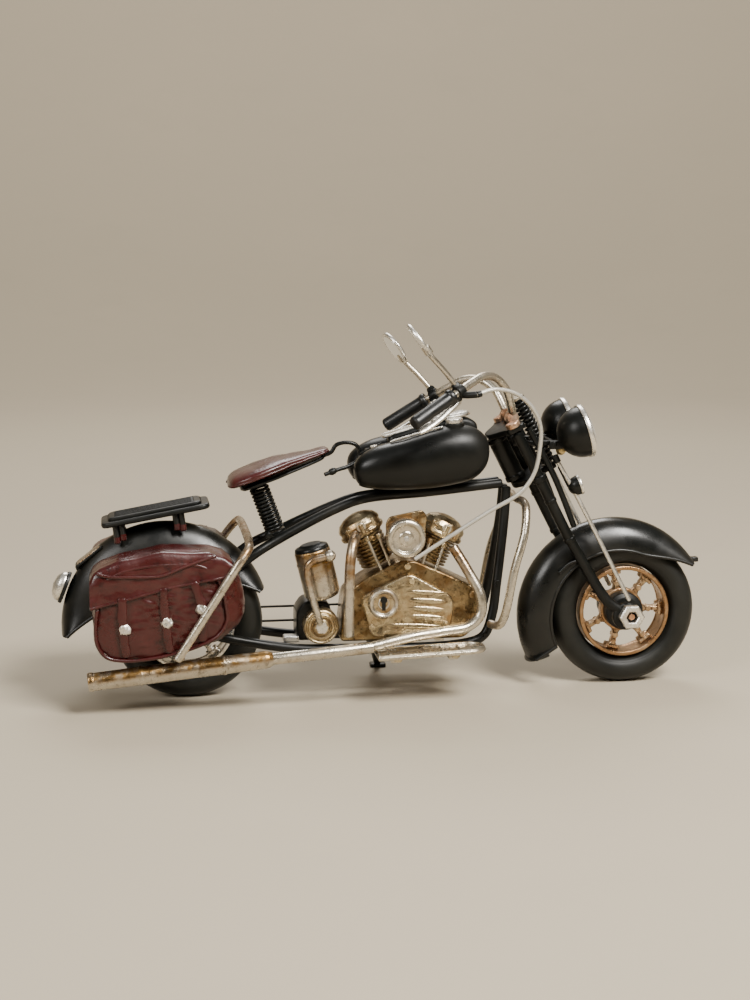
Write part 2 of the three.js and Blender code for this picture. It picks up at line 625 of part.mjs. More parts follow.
function caseShell() {
  const centre = CASE_OUTLINE.reduce(([a, b], [x, z]) => [a + x / 9, b + z / 9], [0, 0]);
  const inward = CASE_OUTLINE.map(([x, z]) => {
    const [dx, dz] = [centre[0] - x, centre[1] - z];
    const length = Math.hypot(dx, dz);
    const move = CASE_WALL * 1.35;
    return [x + (dx / length) * move, z + (dz / length) * move];
  });
  const pocket = plate(inward, CASE_RIGHT + CASE_WALL, CASE_LEFT + 1);
  const window = disc(vec(ARBOR_X, 0, ARBOR_Z), ACROSS, CASE_RIGHT - 1, CASE_RIGHT + CASE_WALL + 1, 4.5);
  add("crankcase", cut(plate(CASE_OUTLINE, CASE_RIGHT, CASE_LEFT), pocket, window), CAST);
}

function covers() {
  const arbor = vec(ARBOR_X, 0, ARBOR_Z);
  const slotHole = block(-1.1, 1.1, COVER_FACE - BOSS_DEPTH - 1, COVER_FACE - BOSS_DEPTH + 1 - GAP, -2.4, 2.4)
    .translate(ARBOR_X, 0, ARBOR_Z);
  const boss = turned(
    [[0.5, 0], [0.5, 4.8], [-BOSS_DEPTH + 0.8, 4.8], [-BOSS_DEPTH, 4.0], [-BOSS_DEPTH, 3.1],
      [-BOSS_DEPTH + 0.5, 2.8], [-BOSS_DEPTH + 0.5, 0]].reverse(),
    vec(ARBOR_X, COVER_FACE, ARBOR_Z), ACROSS, 20,
  );
  const shaftHole = disc(arbor, ACROSS, COVER_FACE - BOSS_DEPTH + 1 - GAP, 0, ARBOR_RADIUS + RUNNING);
  const cover = plate(COVER_OUTLINE, COVER_FACE, CASE_RIGHT - GAP, 0.8);
  add("timing_cover", cut(join(cover, boss), shaftHole, slotHole), CAST);

  const outline = CASE_OUTLINE.map(([x, z]) => [x * 0.98 + 1.4, z * 0.96 + 1.1]);
  const primary = plate(outline, CASE_LEFT + GAP, CASE_LEFT + GAP + 0.9);
  const bearing = disc(vec(OUTPUT_X, 0, OUTPUT_Z), ACROSS, 0, 8, AXLE_RADIUS + RUNNING);
  const domeOutline = [[60, 20.5], [87, 20.5], [88.4, 31], [80, 36.5], [60, 34]];
  const dome = plate(domeOutline, CASE_LEFT + GAP + 0.5, BELT_Y + 4, 1);
  add("primary_cover", cut(join(primary, dome), bearing), CAST);
}

function cylinders() {
  for (const { name, base, top } of CYLINDERS) {
    const direction = top.clone().sub(base);
    const length = direction.length() - 3.2;
    const fins = 4;
    const pitch = length / fins;
    const profile = [[GAP, 0]];
    for (let i = 0; i < fins; i++) {
      const start = GAP + i * pitch;
      profile.push([start, BARREL_RADIUS], [start + pitch * 0.45, BARREL_RADIUS]);
      profile.push([start + pitch * 0.5, FIN_RADIUS], [start + pitch * 0.95, FIN_RADIUS]);
    }
    profile.push([length, BARREL_RADIUS], [length, 0]);
    add(`cylinder_${name}`, turned(profile, base, direction, 14), CAST);
    const dome = [[0, 0], [0, 7.2], [3.0, 7.2], [5.2, 6.0], [6.6, 3.4], [7.0, 0]];
    const head = base.clone().addScaledVector(direction.clone().normalize(), length + GAP);
    add(`rocker_cover_${name}`, turned(dome, head, direction, 18).applyMatrix4(flatten(head)), CAST);
  }
}

// The rocker covers are narrower across the bike than along it.
function flatten(at) {
  const back = new THREE.Matrix4().makeTranslation(-at.x, 0, 0);
  const squeeze = new THREE.Matrix4().makeScale(1, 0.85, 1);
  return new THREE.Matrix4().makeTranslation(at.x, 0, 0).multiply(squeeze).multiply(back);
}

function airCleaner() {
  const centre = vec(67.2, 0, 50.2);
  const face = -13.6;
  const r = 6.1;
  const profile = [
    [5.6, 0], [5.6, r - 0.6], [4.6, r], [0.8, r], [0, r - 0.8], [0, r - 1.6], [0.7, r - 2.2], [0.9, 0],
  ];
  const shell = turned(profile.reverse(), vec(centre.x, face, centre.z), ACROSS, 20);
  const intake = disc(centre, ACROSS, face + 5.4, -1, 1.9);
  const body = block(65.3, 69.4, -5.2, 2.4, 45.4, 52.4);
  add("air_cleaner", join(shell, intake, body), SILVER);
}

const OIL_TOP = vec(38.4, -7.7, 46.8);
const OIL_FOOT = vec(42.0, -7.7, 31.4);
const OIL_RADIUS = 5.6;
const KICK_Y = -15.4;
const KICK_RADIUS = 1.15;

function oilTankAndKick() {
  const down = OIL_FOOT.clone().sub(OIL_TOP);
  const length = down.length();
  const body = [[0, 0], [0, OIL_RADIUS], [length - 1.5, OIL_RADIUS], [length, OIL_RADIUS - 1.5], [length, 0]];
  const lid = [[-1.8, 0], [-1.8, 3.4], [-0.8, 5.2], [0.2, 5.2], [0.2, 0]];
  add("oil_tank", join(turned(body, OIL_TOP, down, 18), turned(lid, OIL_TOP, down, 18)), CAST);

  const gearCase = plate([[33.6, 18], [45, 18], [45, 25], [43.6, 30], [36, 30.4], [33.6, 27]], -8, 4, 0.8);

  const drum = vec(40.8, 0, 23.2);
  const r = 5.6;
  const rings = [
    [-7.6, 0], [-7.6, r], [-12, r], [-13.2, r - 1.2], [-12.6, r - 2.4], [-13.4, r - 3.4], [-14, 1.6], [-14, 0],
  ];

  const armPoints = [
    vec(40.4, -13.4, 24.4), vec(39.4, KICK_Y, 27.5), vec(37.6, KICK_Y, 34),
    vec(36.2, KICK_Y, 42.6), vec(38, KICK_Y, 44.6), vec(42.6, KICK_Y, 45.8),
  ];
  const arm = bar(armPoints, KICK_RADIUS, 9);
  const ball = new THREE.SphereGeometry(1.8, 8, 6).translate(43.2, KICK_Y, 46);
  add("gearbox", join(gearCase, turned(rings, drum, ACROSS, 20), arm, ball), CAST);
}

function exhaustHeaders() {
  const rear = [
    vec(52.4, -8.8, 51.2), vec(50.6, -13.6, 49.2), vec(49.4, -16, 43.8),
    vec(48.9, -16, 30), vec(48.9, -16.2, 20.6),
  ];
  add("exhaust_rear", bar(rear, HEADER_RADIUS, 12, 8), SILVER);
  const front = [
    vec(82.4, -8.6, 46.8), vec(86.6, -11.5, 39.6), vec(90.4, -14, 31.7), vec(90.2, -14.6, 26),
    vec(86.2, -15.6, 22.6), vec(78, -17, 21.6), vec(68, -18.6, 20.6), vec(55, MUFFLER_Y + 1.7, 18.2),
  ];
  add("exhaust_front", join(bar(front, HEADER_RADIUS, 20, 8), muffler()), SILVER);
}

// ---------------------------------------------------------------- tank and saddle
const TANK_STATIONS = [
  [51.4, 69.4, 72.6, 1.2], [53.4, 66.4, 75.6, 4.0], [58.6, 65.2, 78.4, 6.0], [67, 64.9, 80.6, 7.0],
  [75, 65.2, 83.0, 7.3], [82.6, 66.2, 84.7, 7.1], [88.6, 67.8, 84.2, 6.2], [92.4, 71.2, 81.6, 4.0],
  [93.8, 75, 78, 1.2],
];
const LOBE_Y = 7.9;

function tankLobe(side, grow) {
  const rings = [];
  for (let i = 0; i <= 11; i++) {
    const [x, low, high, half] = along(TANK_STATIONS, i / 11);
    rings.push(oval(x, side * LOBE_Y, (low + high) / 2, half + grow, (high - low) / 2 + grow, 14));
  }
  return loft(rings);
}

function fuelTank() {
  for (const side of [RIGHT, LEFT]) {
    const name = sideName(side);
    const cap = disc(vec(83, side * LOBE_Y, 84.7), vec(-0.1, 0, 1), -1, 2.2, 2.7, 8);
    add(`tank_${name}`, join(tankLobe(side, 0), cap), BLACK);
  }
  const outline = [[63, 74], [88, 74], [91.5, 79], [91.5, 85.2], [88, 87.4], [80, 86.6], [63, 81.6]];
  const console = cut(plate(outline, -4.6, 4.6, 0.8), tankLobe(RIGHT, GAP), tankLobe(LEFT, GAP));
  const bodies = toSolid(console).decompose().sort((a, b) => b.volume() - a.volume());
  add("tank_console", toGeometry(bodies[0]), BLACK);
}

const SADDLE_STATIONS = [
  [13.2, 65.6, 67.4, 5.0], [15.2, 65.8, 69.6, 9.6], [20, 67.3, 71.8, 11.4], [26, 69.3, 74.0, 10.4],
  [33, 71.8, 75.6, 7.2], [39, 73.9, 76.8, 4.8], [43.6, 75.6, 77.9, 3.6], [44.4, 76.2, 77.6, 2.6],
];
const PAN_WALL = 1.1;
const WIRE_RADIUS = 0.65;
const SADDLE_PIVOT = vec(54.4, 0, 75.8);
const SPRING_WIRE = 0.55;

function saddle() {
  const rings = [];
  const under = [];
  for (let i = 0; i <= 12; i++) {
    const [x, low, high, half] = along(SADDLE_STATIONS, i / 12);
    rings.push(oval(x, 0, (low + high) / 2, half, (high - low) / 2, 16, 2.8));
    if (i > 1 && i < 12) under.push(oval(x, 0, low - GAP - PAN_WALL / 2, half * 0.82, PAN_WALL / 2, 12, 6));
  }
  add("saddle_pad", loft(rings), MAROON);
  const nose = vec(42.4, 0, 74.6);
  const wire = [
    nose, vec(45.4, 0, 75.8), vec(47, 0, 78), vec(50, 0, 78.8), vec(53.2, 0, 78.0), SADDLE_PIVOT,
    vec(53.9, -0.4, 73.4), vec(51, -1.2, 71.6), vec(47.4, -2, 70.6), vec(43, -2.8, 69.2),
  ];
  const padClear = loft(rings.map((ring) => ring.map((p) => vec(p.x + GAP, p.y, p.z))));
  add("saddle_pan", cut(join(loft(under), bar(wire, WIRE_RADIUS, 20, 6)), padClear), BLACK);

  const direction = SPRING_HEAD.clone().sub(SPRING_FOOT).normalize();
  const length = SPRING_HEAD.distanceTo(SPRING_FOOT);
  const turns = 9;
  const ribs = [[0, 0]];
  for (let i = 0; i < turns; i++) {
    ribs.push([(i / turns) * length, SPRING_RADIUS - SPRING_WIRE], [((i + 0.5) / turns) * length, SPRING_RADIUS]);
  }
  ribs.push([length, SPRING_RADIUS - SPRING_WIRE], [length, 0]);
  add("seat_spring", turned(ribs, SPRING_FOOT, direction, 10), BLACK);
}

// ---------------------------------------------------------------- footboards, front guards, kickstand
const BOARD_Y = [14.2, 25];
const BOARD_Z = 12.2;

function footboards() {
  const tilt = THREE.MathUtils.degToRad(2.5);
  const under = LOWER_RAIL_Z - RAIL_RADIUS - GAP;
  for (const side of [RIGHT, LEFT]) {
    const shape = new THREE.Shape();
    const [y0, y1] = BOARD_Y.map((y) => side * y).sort((a, b) => a - b);
    const [x0, x1] = [57, 91];
    shape.moveTo(x0, y0);
    shape.lineTo(x1 - 4, y0);
    shape.absarc(x1 - 4, (y0 + y1) / 2, (y1 - y0) / 2, -Math.PI / 2, Math.PI / 2, false);
    shape.lineTo(x0, y1);
    shape.closePath();
    const tray = new THREE.ExtrudeGeometry(shape, { depth: 1.3, bevelEnabled: false, curveSegments: 8 })
      .rotateY(-tilt).translate(0, 0, BOARD_Z);
    const arms = [62, 80].map((x) => {
      const reach = [side * 8.4, side * 17].sort((a, b) => a - b);
      const drop = block(x, x + 3, ...reach, under - 1.3, under);
      const postTop = BOARD_Z + x * Math.tan(tilt) + 0.6;
      const post = block(x, x + 3, side * 15.6 - 1.2, side * 15.6 + 1.2, under - 1.3, postTop);
      return join(drop, post);
    });
    const railClear = bar(mirrored(cradlePoints, side), RAIL_RADIUS + GAP, 26);
    add(`footboard_${sideName(side)}`, cut(join(tray, ...arms), railClear), SILVER);
  }
}

// One hoop: across in front of the down tubes, out and down each side, and in again to the bend of the cradle.
function frontGuard() {
  const half = [
    vec(HEAD_X + 3.6, 4, 60.4), vec(HEAD_X + 4.1, 9, 60.4), vec(HEAD_X + 4.2, 13, 59.2), vec(HEAD_X + 3, 17, 52),
    vec(HEAD_X - 0.4, 19, 41), vec(HEAD_X - 3.4, 18.4, 26), vec(HEAD_X - 4.6, 16, 22.8),
    vec(HEAD_X - 6.2, 11.6, 22.4), vec(HEAD_X - 6.6, 9.6, 22.4),
  ];
  const path = [...mirrored(half, RIGHT).reverse(), ...half];
  const railClear = [RIGHT, LEFT].map((side) => bar(mirrored(cradlePoints, side), RAIL_RADIUS + GAP, 26));
  add("front_guard", cut(bar(path, GUARD_RADIUS, 48), ...railClear), SILVER);
}

// The stand's leg leans outwards; its foot is a flat pad on the ground, a little ahead of the pivot.
function kickstand() {
  const foot = vec(STAND_PIVOT.x + 4, 28, 0);
  const eye = disc(STAND_PIVOT, ACROSS, -1.4, 1.4, 1.7, 14);
  const leg = bar([STAND_PIVOT, vec(foot.x, foot.y, 0.9)], 1.0, 2);
  const pad = block(foot.x - 2.6, foot.x + 2.6, foot.y - 2.2, foot.y + 2.2, 0, 1.2);
  add("kickstand", cut(join(eye, leg, pad), disc(STAND_PIVOT, ACROSS, -3, 3, 0.5 + RUNNING)), BLACK);
}

// ---------------------------------------------------------------- steering
const YOKE_TOP = [HEAD_TOP + 0.4, HEAD_TOP + 2.2];
const YOKE_LOW = [HEAD_BOTTOM - 2.4, HEAD_BOTTOM - 0.4];
const LEG_FORWARD = 5.2;
const SPRINGS_FORWARD = 11.4;
const FORK_SPRING_RADIUS = 2.4;
const SPRING_TOP = 14.5;
const NUT_DEPTH = 3.2;
const NUT_CORNER = 4.04;
const NUT_HOLE = 1.9;
const LAMP_Y = 11;
const LAMP_RADIUS = 8.0;
const LAMP_TILT = THREE.MathUtils.degToRad(16);
const ROD_RADIUS = 0.7;
const BAR_RADIUS = 1.3;
const GRIP_RADIUS = 2.25;
const STEM_WIRE = 0.85;

function headPoint(forward, y, up) {
  return vec(forward, y, up).applyAxisAngle(ACROSS, -RAKE).add(vec(HEAD_X, 0, HEAD_HEIGHT));
}

// From below the top yoke straight down, then a kink forwards to the axle plate.
function legPoints(side) {
  const y = side * LEG_Y;
  const end = vec(WHEELBASE - 2.4, y, AXLE_Z + 1.2);
  return [headPoint(LEG_FORWARD, y, HEAD_TOP), headPoint(LEG_FORWARD, y, -32), vec(WHEELBASE - 7, y, AXLE_Z + 4.6), end];
}

function fork() {
  const legClear = [RIGHT, LEFT].map((side) => bar(legPoints(side), LEG_RADIUS + GAP, 10));
  const stem = disc(vec(0, 0, 0), UP, YOKE_LOW[1] - 1, HEAD_TOP + GAP / 2, STEM_RADIUS, 14);
  const front = LEG_FORWARD + LEG_RADIUS;
  const lowPlate = yoke([[front, LEG_Y], [3.0, LEG_Y], [-2.2, 2.0]], YOKE_LOW);
  const springSeat = block(LEG_FORWARD, SPRINGS_FORWARD + 1.4, -3, 3, ...YOKE_LOW);
  add("steering_stem", cut(outOfHead(join(stem, lowPlate, springSeat)), ...legClear), BLACK);
  const half = LEG_Y + LEG_RADIUS;
  const topPlate = yoke([[8.6, half], [2.8, half], [2.0, LEG_Y - 1], [-2.6, 3.0]], YOKE_TOP);
  add("top_yoke", cut(join(outOfHead(topPlate), lampBracket()), ...legClear, forkSpring(GAP)), COPPER);
  add("fork_spring", forkSpring(0), BLACK);

  for (const side of [RIGHT, LEFT]) {
    const name = sideName(side);
    const axle = vec(WHEELBASE, side * LEG_Y, AXLE_Z);
    const eye = disc(axle, ACROSS, -FORK_PLATE_HALF, FORK_PLATE_HALF, 3.4);
    const bore = disc(axle, ACROSS, -4, 4, AXLE_RADIUS + GAP);
    add(`fork_leg_${name}`, cut(join(bar(legPoints(side), LEG_RADIUS, 10), eye), bore), BLACK);

    const rodY = side * (LEG_Y + 2.4);
    const rod = [
      headPoint(12.6, side * LEG_Y, -7), headPoint(13.1, side * (LEG_Y + 1), -20),
      vec(WHEELBASE - 0.4, rodY, AXLE_Z + 5),
    ];
    add(`fork_rod_${name}`, bar(rod, ROD_RADIUS, 6), SILVER);
  }
  add("front_axle", frontAxle(), SILVER);
  add("front_fender", cut(frontFender(), ...legClear), BLACK);
}

// One axle with a hexagon nut on each end; the axle's bare end stands inside the nut's hole.
function frontAxle() {
  const axle = vec(WHEELBASE, 0, AXLE_Z);
  const half = NUT_START + NUT_DEPTH - 0.8;
  const nuts = [-NUT_START - NUT_DEPTH, NUT_START].map((from) => {
    const outer = from < 0 ? from : from + NUT_DEPTH - 2;
    const nut = disc(axle, ACROSS, from, from + NUT_DEPTH, NUT_CORNER, 6);
    return cut(nut, disc(axle, ACROSS, outer - 1, outer + 3, NUT_HOLE));
  });
  return join(disc(axle, ACROSS, -half, half, AXLE_RADIUS), ...nuts);
}

// A flat yoke between two heights of the head; its back narrows to the stem so that it clears the tank on full lock.
function yoke(halfOutline, [low, high]) {
  const left = halfOutline.map(([forward, y]) => new THREE.Vector2(forward, y));
  const right = halfOutline.map(([forward, y]) => new THREE.Vector2(forward, -y)).reverse();
  const shape = new THREE.Shape([...left, ...right]);
  return new THREE.ExtrudeGeometry(shape, { depth: high - low, bevelEnabled: false }).translate(0, 0, low);
}

function forkSpring(grow) {
  const from = YOKE_LOW[1] + GAP - grow;
  return outOfHead(disc(vec(SPRINGS_FORWARD, 0, 0), UP, from, SPRING_TOP + grow, FORK_SPRING_RADIUS + grow, 12));
}

// Two arms pass outside the spring, and a beam across their ends carries the headlights.
function lampBracket() {
  const z = HEAD_HEIGHT + 4.2;
  const arms = [RIGHT, LEFT].map((side) =>
    block(HEAD_X + 1.5, HEAD_X + 14.4, side * 6.2 - 0.8, side * 6.2 + 0.8, z - 0.8, z + 0.8),
  );
  const risers = [RIGHT, LEFT].map((side) =>
    block(HEAD_X + 1.5, HEAD_X + 3.4, side * 6.2 - 0.8, side * 6.2 + 0.8, z - 0.8, z + 6),
  );
  const beam = block(HEAD_X + 13.2, HEAD_X + 14.4, -LAMP_Y, LAMP_Y, z - 0.8, z + 0.8);
  return join(...arms, ...risers, beam);
}

const BAR_RISE = 0.4;
const BAR_CENTRE = headPoint(7, 0, YOKE_TOP[1] + GAP + BAR_RISE + BAR_RADIUS);
const barHalf = [
  vec(BAR_CENTRE.x, 3.8, BAR_CENTRE.z), vec(BAR_CENTRE.x - 0.6, 5.6, BAR_CENTRE.z + 2.4), vec(99, 8.4, 94.6),
  vec(95.4, 11.4, 97.8), vec(91.1, 15, 98.4), vec(86.2, 18.8, 96.2), vec(82.6, 21.6, 94.0),
  vec(80.4, 23.2, 92.7), vec(68, 28.8, 84.6),
];
const GRIP_ENDS = [vec(79.6, 23.6, 92.3), vec(66.6, 29.5, 83.9)];

function tiltBar(geometry) {
  return geometry.translate(0, 0, -BAR_CENTRE.z).rotateX(-BAR_TILT).translate(0, 0, BAR_CENTRE.z);
}

function handlebar() {
  const path = [...mirrored(barHalf, RIGHT).reverse(), vec(BAR_CENTRE.x, 0, BAR_CENTRE.z), ...barHalf];
  add("handlebar", tiltBar(bar(path, BAR_RADIUS, 40)), SILVER);
  for (const side of [RIGHT, LEFT]) {
    const name = sideName(side);
    const [front, rear] = mirrored(GRIP_ENDS, side);
    const direction = rear.clone().sub(front);
    const length = direction.length();
    const bore = BAR_RADIUS + RUNNING;
    const profile = [[0, 0], [0, GRIP_RADIUS], [length - 0.5, GRIP_RADIUS], [length, GRIP_RADIUS - 0.5], [length, 0]];
    const grip = turned(profile, front, direction, 12);
    const barClear = bar(mirrored(barHalf, side).slice(4), bore, 16, 8);
    add(`grip_${name}`, cut(tiltBar(grip), tiltBar(barClear)), BLACK);

    const centre = vec(69.6, side * 24.4, 109);
    const normal = vec(0.806, side * 0.1, 0.592);
    const glass = disc(centre, normal, -0.6, 0.6, 6.1, 18);
    const foot = vec(80.6, side * 22.4, 95.6);
    const stem = bar([vec(72.8, side * 24.4, 104.6), vec(77.4, side * 23.4, 99.6), foot], STEM_WIRE, 5);
    const clear = bar(mirrored(barHalf, side), BAR_RADIUS + GAP, 30);
    add(`mirror_${name}`, tiltBar(cut(join(glass, stem), clear)), SILVER);
  }
}

function lamps() {
  for (const side of [RIGHT, LEFT]) {
    const name = sideName(side);
    const facing = vec(Math.cos(LAMP_TILT), 0, Math.sin(LAMP_TILT));
    const centre = vec(HEAD_X + 22.2, side * LAMP_Y, HEAD_HEIGHT + 8.1);
    const profile = [];
    for (let i = 0; i <= 5; i++) {
      const a = (i / 5) * (Math.PI / 2);
      profile.push([-LAMP_RADIUS * Math.cos(a), LAMP_RADIUS * Math.sin(a)]);
    }
    profile.push([0.2, 8.5], [1.6, 8.5], [1.9, 7.6], [3.2, 4.2], [3.6, 0]);
    add(`headlight_${name}`, turned(profile, centre, facing, 16), BLACK);
  }
}

// The throttle cable runs from its ferrule on the right grip in a wide loop round the fork, down to the carburettor.
const CABLE_RADIUS = 0.65;
const CABLE_ROUTE = [
  [86.4, -24.8, 95.6], [92.4, -23.4, 97.0], [99.6, -21.4, 95.2], [105.2, -19.8, 90.2], [107.6, -18.6, 84.6],
  [107.6, -17.6, 77.6], [106.2, -16.8, 70.4], [102.1, -16.2, 64.4], [92.1, -15.6, 58.4], [80, -15.2, 50.8],
  [69.5, -14.6, 44],
];

function throttleCable() {
  const points = CABLE_ROUTE.map(([x, y, z]) => vec(x, y, z));
  add("throttle_cable", bar(points, CABLE_RADIUS, 28, 6), SILVER);
}

wheels();
clockwork();
frame();
fork();
rearFender();
rack();
tailLamp();
saddlebags();
rearGuard();
caseShell();
covers();
cylinders();
airCleaner();
oilTankAndKick();
exhaustHeaders();
fuelTank();
saddle();
footboards();
frontGuard();
kickstand();
handlebar();
lamps();
throttleCable();

export default root;
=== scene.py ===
# %% [markdown]
# # A tin wind-up motorcycle
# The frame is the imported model: its bodies, its plain nodes and its joints. Everything made here is
# laid over those nodes in the same place and rides on the same bodies, so it moves as they do.

# %% Load the frame and keep its box
import math

import bpy
import numpy as np
from mathutils import Matrix, Vector


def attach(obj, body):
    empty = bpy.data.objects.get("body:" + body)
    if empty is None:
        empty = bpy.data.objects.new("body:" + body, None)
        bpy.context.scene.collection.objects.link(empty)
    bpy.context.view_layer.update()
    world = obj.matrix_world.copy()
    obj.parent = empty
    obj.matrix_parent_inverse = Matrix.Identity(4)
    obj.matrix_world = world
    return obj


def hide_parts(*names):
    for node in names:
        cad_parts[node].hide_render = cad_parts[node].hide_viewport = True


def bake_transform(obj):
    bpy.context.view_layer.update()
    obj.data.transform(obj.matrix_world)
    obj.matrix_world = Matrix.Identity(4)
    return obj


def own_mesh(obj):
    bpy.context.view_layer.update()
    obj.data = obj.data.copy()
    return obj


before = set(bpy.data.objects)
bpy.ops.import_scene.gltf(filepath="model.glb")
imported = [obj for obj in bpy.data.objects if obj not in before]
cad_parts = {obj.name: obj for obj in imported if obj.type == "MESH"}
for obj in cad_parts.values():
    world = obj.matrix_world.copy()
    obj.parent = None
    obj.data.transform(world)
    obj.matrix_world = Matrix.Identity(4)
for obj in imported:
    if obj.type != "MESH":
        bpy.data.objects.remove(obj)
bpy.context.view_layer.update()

# %% [markdown]
# The camera comes first. It stands to the right of the motorcycle, eight degrees round towards the
# tail and nine degrees up, level and without shift. A 67 mm lens on a 36 mm long side fits the whole
# toy with little perspective.

# %% The camera
MM = 0.001
AZIMUTH, ELEVATION, LENS = 8.0, 9.0, 66.96
camera = bpy.data.cameras.new("camera")
camera.lens, camera.sensor_width, camera.sensor_fit = LENS, 36.0, "AUTO"
camera.clip_start, camera.clip_end = 0.02, 20.0
eye = bpy.data.objects.new("camera", camera)
bpy.context.scene.collection.objects.link(eye)
turn, rise = math.radians(AZIMUTH), math.radians(ELEVATION)
forward = Vector((math.sin(turn) * math.cos(rise), math.cos(turn) * math.cos(rise), -math.sin(rise)))
rightward = Vector((math.cos(turn), -math.sin(turn), 0.0))
upward = rightward.cross(forward)
place = Matrix((rightward, upward, -forward)).transposed().to_4x4()
place.translation = Vector((-20.81, -569.49, 151.56)) * MM
eye.matrix_world = place
bpy.context.scene.camera = eye
print("camera looks along", [round(v, 4) for v in forward])

# %% [markdown]
# Nearly every piece is one of a few kinds of surface: a tube carried along a path, a profile turned
# round an axis, a plate with an eased edge, or a sheet with a wall. Each helper works out whole
# arrays of points in millimetres and hands back a patch: points, four-sided and three-sided faces.

# %% Faces and patches
def unit(v):
    """Each vector divided by its own length."""
    v = np.asarray(v, float)
    return v / np.maximum(np.linalg.norm(v, axis=-1, keepdims=True), 1e-12)


def outward(patch):
    """Turns the faces round if the volume they close, the sum of a . (b x c), is negative."""
    v, q, t = patch["v"], patch["q"], patch["t"]
    tri = np.vstack([q[:, [0, 1, 2]], q[:, [0, 2, 3]], t])
    centre = v - v.mean(0)
    volume = np.einsum("ij,ij->", centre[tri[:, 0]], np.cross(centre[tri[:, 1]], centre[tri[:, 2]]))
    if volume < 0:
        patch["q"], patch["t"] = q[:, ::-1].copy(), t[:, ::-1].copy()
    return patch


def skin(rings, poles=(None, None), ring_of_rings=False):
    """Quads between ring i and ring i + 1; each open end is closed by a fan to its pole or middle."""
    rings = np.asarray(rings, float)
    n, m, _ = rings.shape
    i = np.arange(n if ring_of_rings else n - 1)[:, None]
    j = np.arange(m)[None, :]
    k, up = (j + 1) % m, (i + 1) % n
    q = np.stack(np.broadcast_arrays(i * m + j, i * m + k, up * m + k, up * m + j), -1).reshape(-1, 4)
    v, t = rings.reshape(-1, 3), np.zeros((0, 3), int)
    if not ring_of_rings:
        ends = [rings[e].mean(0) if poles[e] is None else poles[e] for e in (0, -1)]
        v = np.vstack([v, ends])
        j = np.arange(m)
        k = (j + 1) % m
        first = np.stack([k, j, np.full(m, n * m)], -1)
        last = np.stack([(n - 1) * m + j, (n - 1) * m + k, np.full(m, n * m + 1)], -1)
        t = np.vstack([first, last])
    return outward({"v": v, "q": q, "t": t})


def walled(outer, inner):
    """A sheet with a wall: the two skins are grids of the same size, and four strips join their edges."""
    n, m, _ = outer.shape
    i, j = np.arange(n - 1)[:, None], np.arange(m - 1)[None, :]
    a = i * m + j
    top = np.stack([a, a + 1, a + m + 1, a + m], -1).reshape(-1, 4)
    under = top[:, ::-1] + n * m
    rim = np.concatenate([np.arange(m), np.arange(1, n) * m + m - 1, (n - 1) * m + np.arange(m - 2, -1, -1),
                          np.arange(n - 2, 0, -1) * m])
    after = np.roll(rim, -1)
    strip = np.stack([after, rim, rim + n * m, after + n * m], -1)
    v = np.vstack([outer.reshape(-1, 3), inner.reshape(-1, 3)])
    return outward({"v": v, "q": np.vstack([top, under, strip]), "t": np.zeros((0, 3), int)})


# %% Paths and outlines
def smooth(points, steps=8, closed=False):
    """Catmull-Rom curve whose knots are spaced by the square root of the distance between points."""
    p = np.asarray(points, float)
    if closed:
        p = np.vstack([p[-1], p, p[0], p[1]])
    else:
        p = np.vstack([2 * p[0] - p[1], p, 2 * p[-1] - p[-2]])
    a, b, c, d = p[:-3], p[1:-2], p[2:-1], p[3:]
    t1 = np.sqrt(np.linalg.norm(b - a, axis=1))[:, None]
    t2 = t1 + np.sqrt(np.linalg.norm(c - b, axis=1))[:, None]
    t3 = t2 + np.sqrt(np.linalg.norm(d - c, axis=1))[:, None]
    t = t1 + (t2 - t1) * np.linspace(0, 1, steps, endpoint=False)[None, :]

    def mix(x, y, tx, ty):
        return ((ty - t) / (ty - tx))[..., None] * x + ((t - tx) / (ty - tx))[..., None] * y

    ab = mix(a[:, None], b[:, None], 0 * t1, t1)
    bc = mix(b[:, None], c[:, None], t1, t2)
    cd = mix(c[:, None], d[:, None], t2, t3)
    curve = mix(mix(ab, bc, 0 * t1, t2), mix(bc, cd, t1, t3), t1, t2).reshape(-1, p.shape[1])
    return curve if closed else np.vstack([curve, p[-2]])


def eased(points, size, steps=4, closed=False):
    """Each corner becomes a short parabola that starts and ends the given size before and after it."""
    p = np.asarray(points, float)
    back, ahead = np.roll(p, 1, 0) - p, np.roll(p, -1, 0) - p
    lb, la = np.linalg.norm(back, axis=1)[:, None], np.linalg.norm(ahead, axis=1)[:, None]
    start = p + back / np.maximum(lb, 1e-9) * np.minimum(size, 0.45 * lb)
    end = p + ahead / np.maximum(la, 1e-9) * np.minimum(size, 0.45 * la)
    t = np.linspace(0, 1, steps + 1)[None, :, None]
    curve = (1 - t) ** 2 * start[:, None] + 2 * t * (1 - t) * p[:, None] + t ** 2 * end[:, None]
    if closed:
        return curve.reshape(-1, p.shape[1])
    return np.vstack([p[:1], curve[1:-1].reshape(-1, p.shape[1]), p[-1:]])


def refine(outline, pitch):
    """The closed outline with extra points, so that no step is much longer than the pitch."""
    p = np.vstack([outline, outline[:1]])
    far = np.concatenate([[0], np.cumsum(np.linalg.norm(np.diff(p, axis=0), axis=1))])
    want = np.linspace(0, far[-1], max(12, int(far[-1] / pitch)), endpoint=False)
    return np.stack([np.interp(want, far, p[:, k]) for k in range(p.shape[1])], -1)


def ripple(points, pitch, seed):
    """A smooth uneven value near -1 to 1: the mean of eight sine waves of about that pitch, times 1.6."""
    rng = np.random.default_rng(seed)
    ways = unit(rng.normal(size=(8, 3))) * (2 * np.pi / pitch * rng.uniform(0.6, 1.6, (8, 1)))
    return np.sin(points @ ways.T + rng.uniform(0, 2 * np.pi, 8)).mean(-1) * 1.6


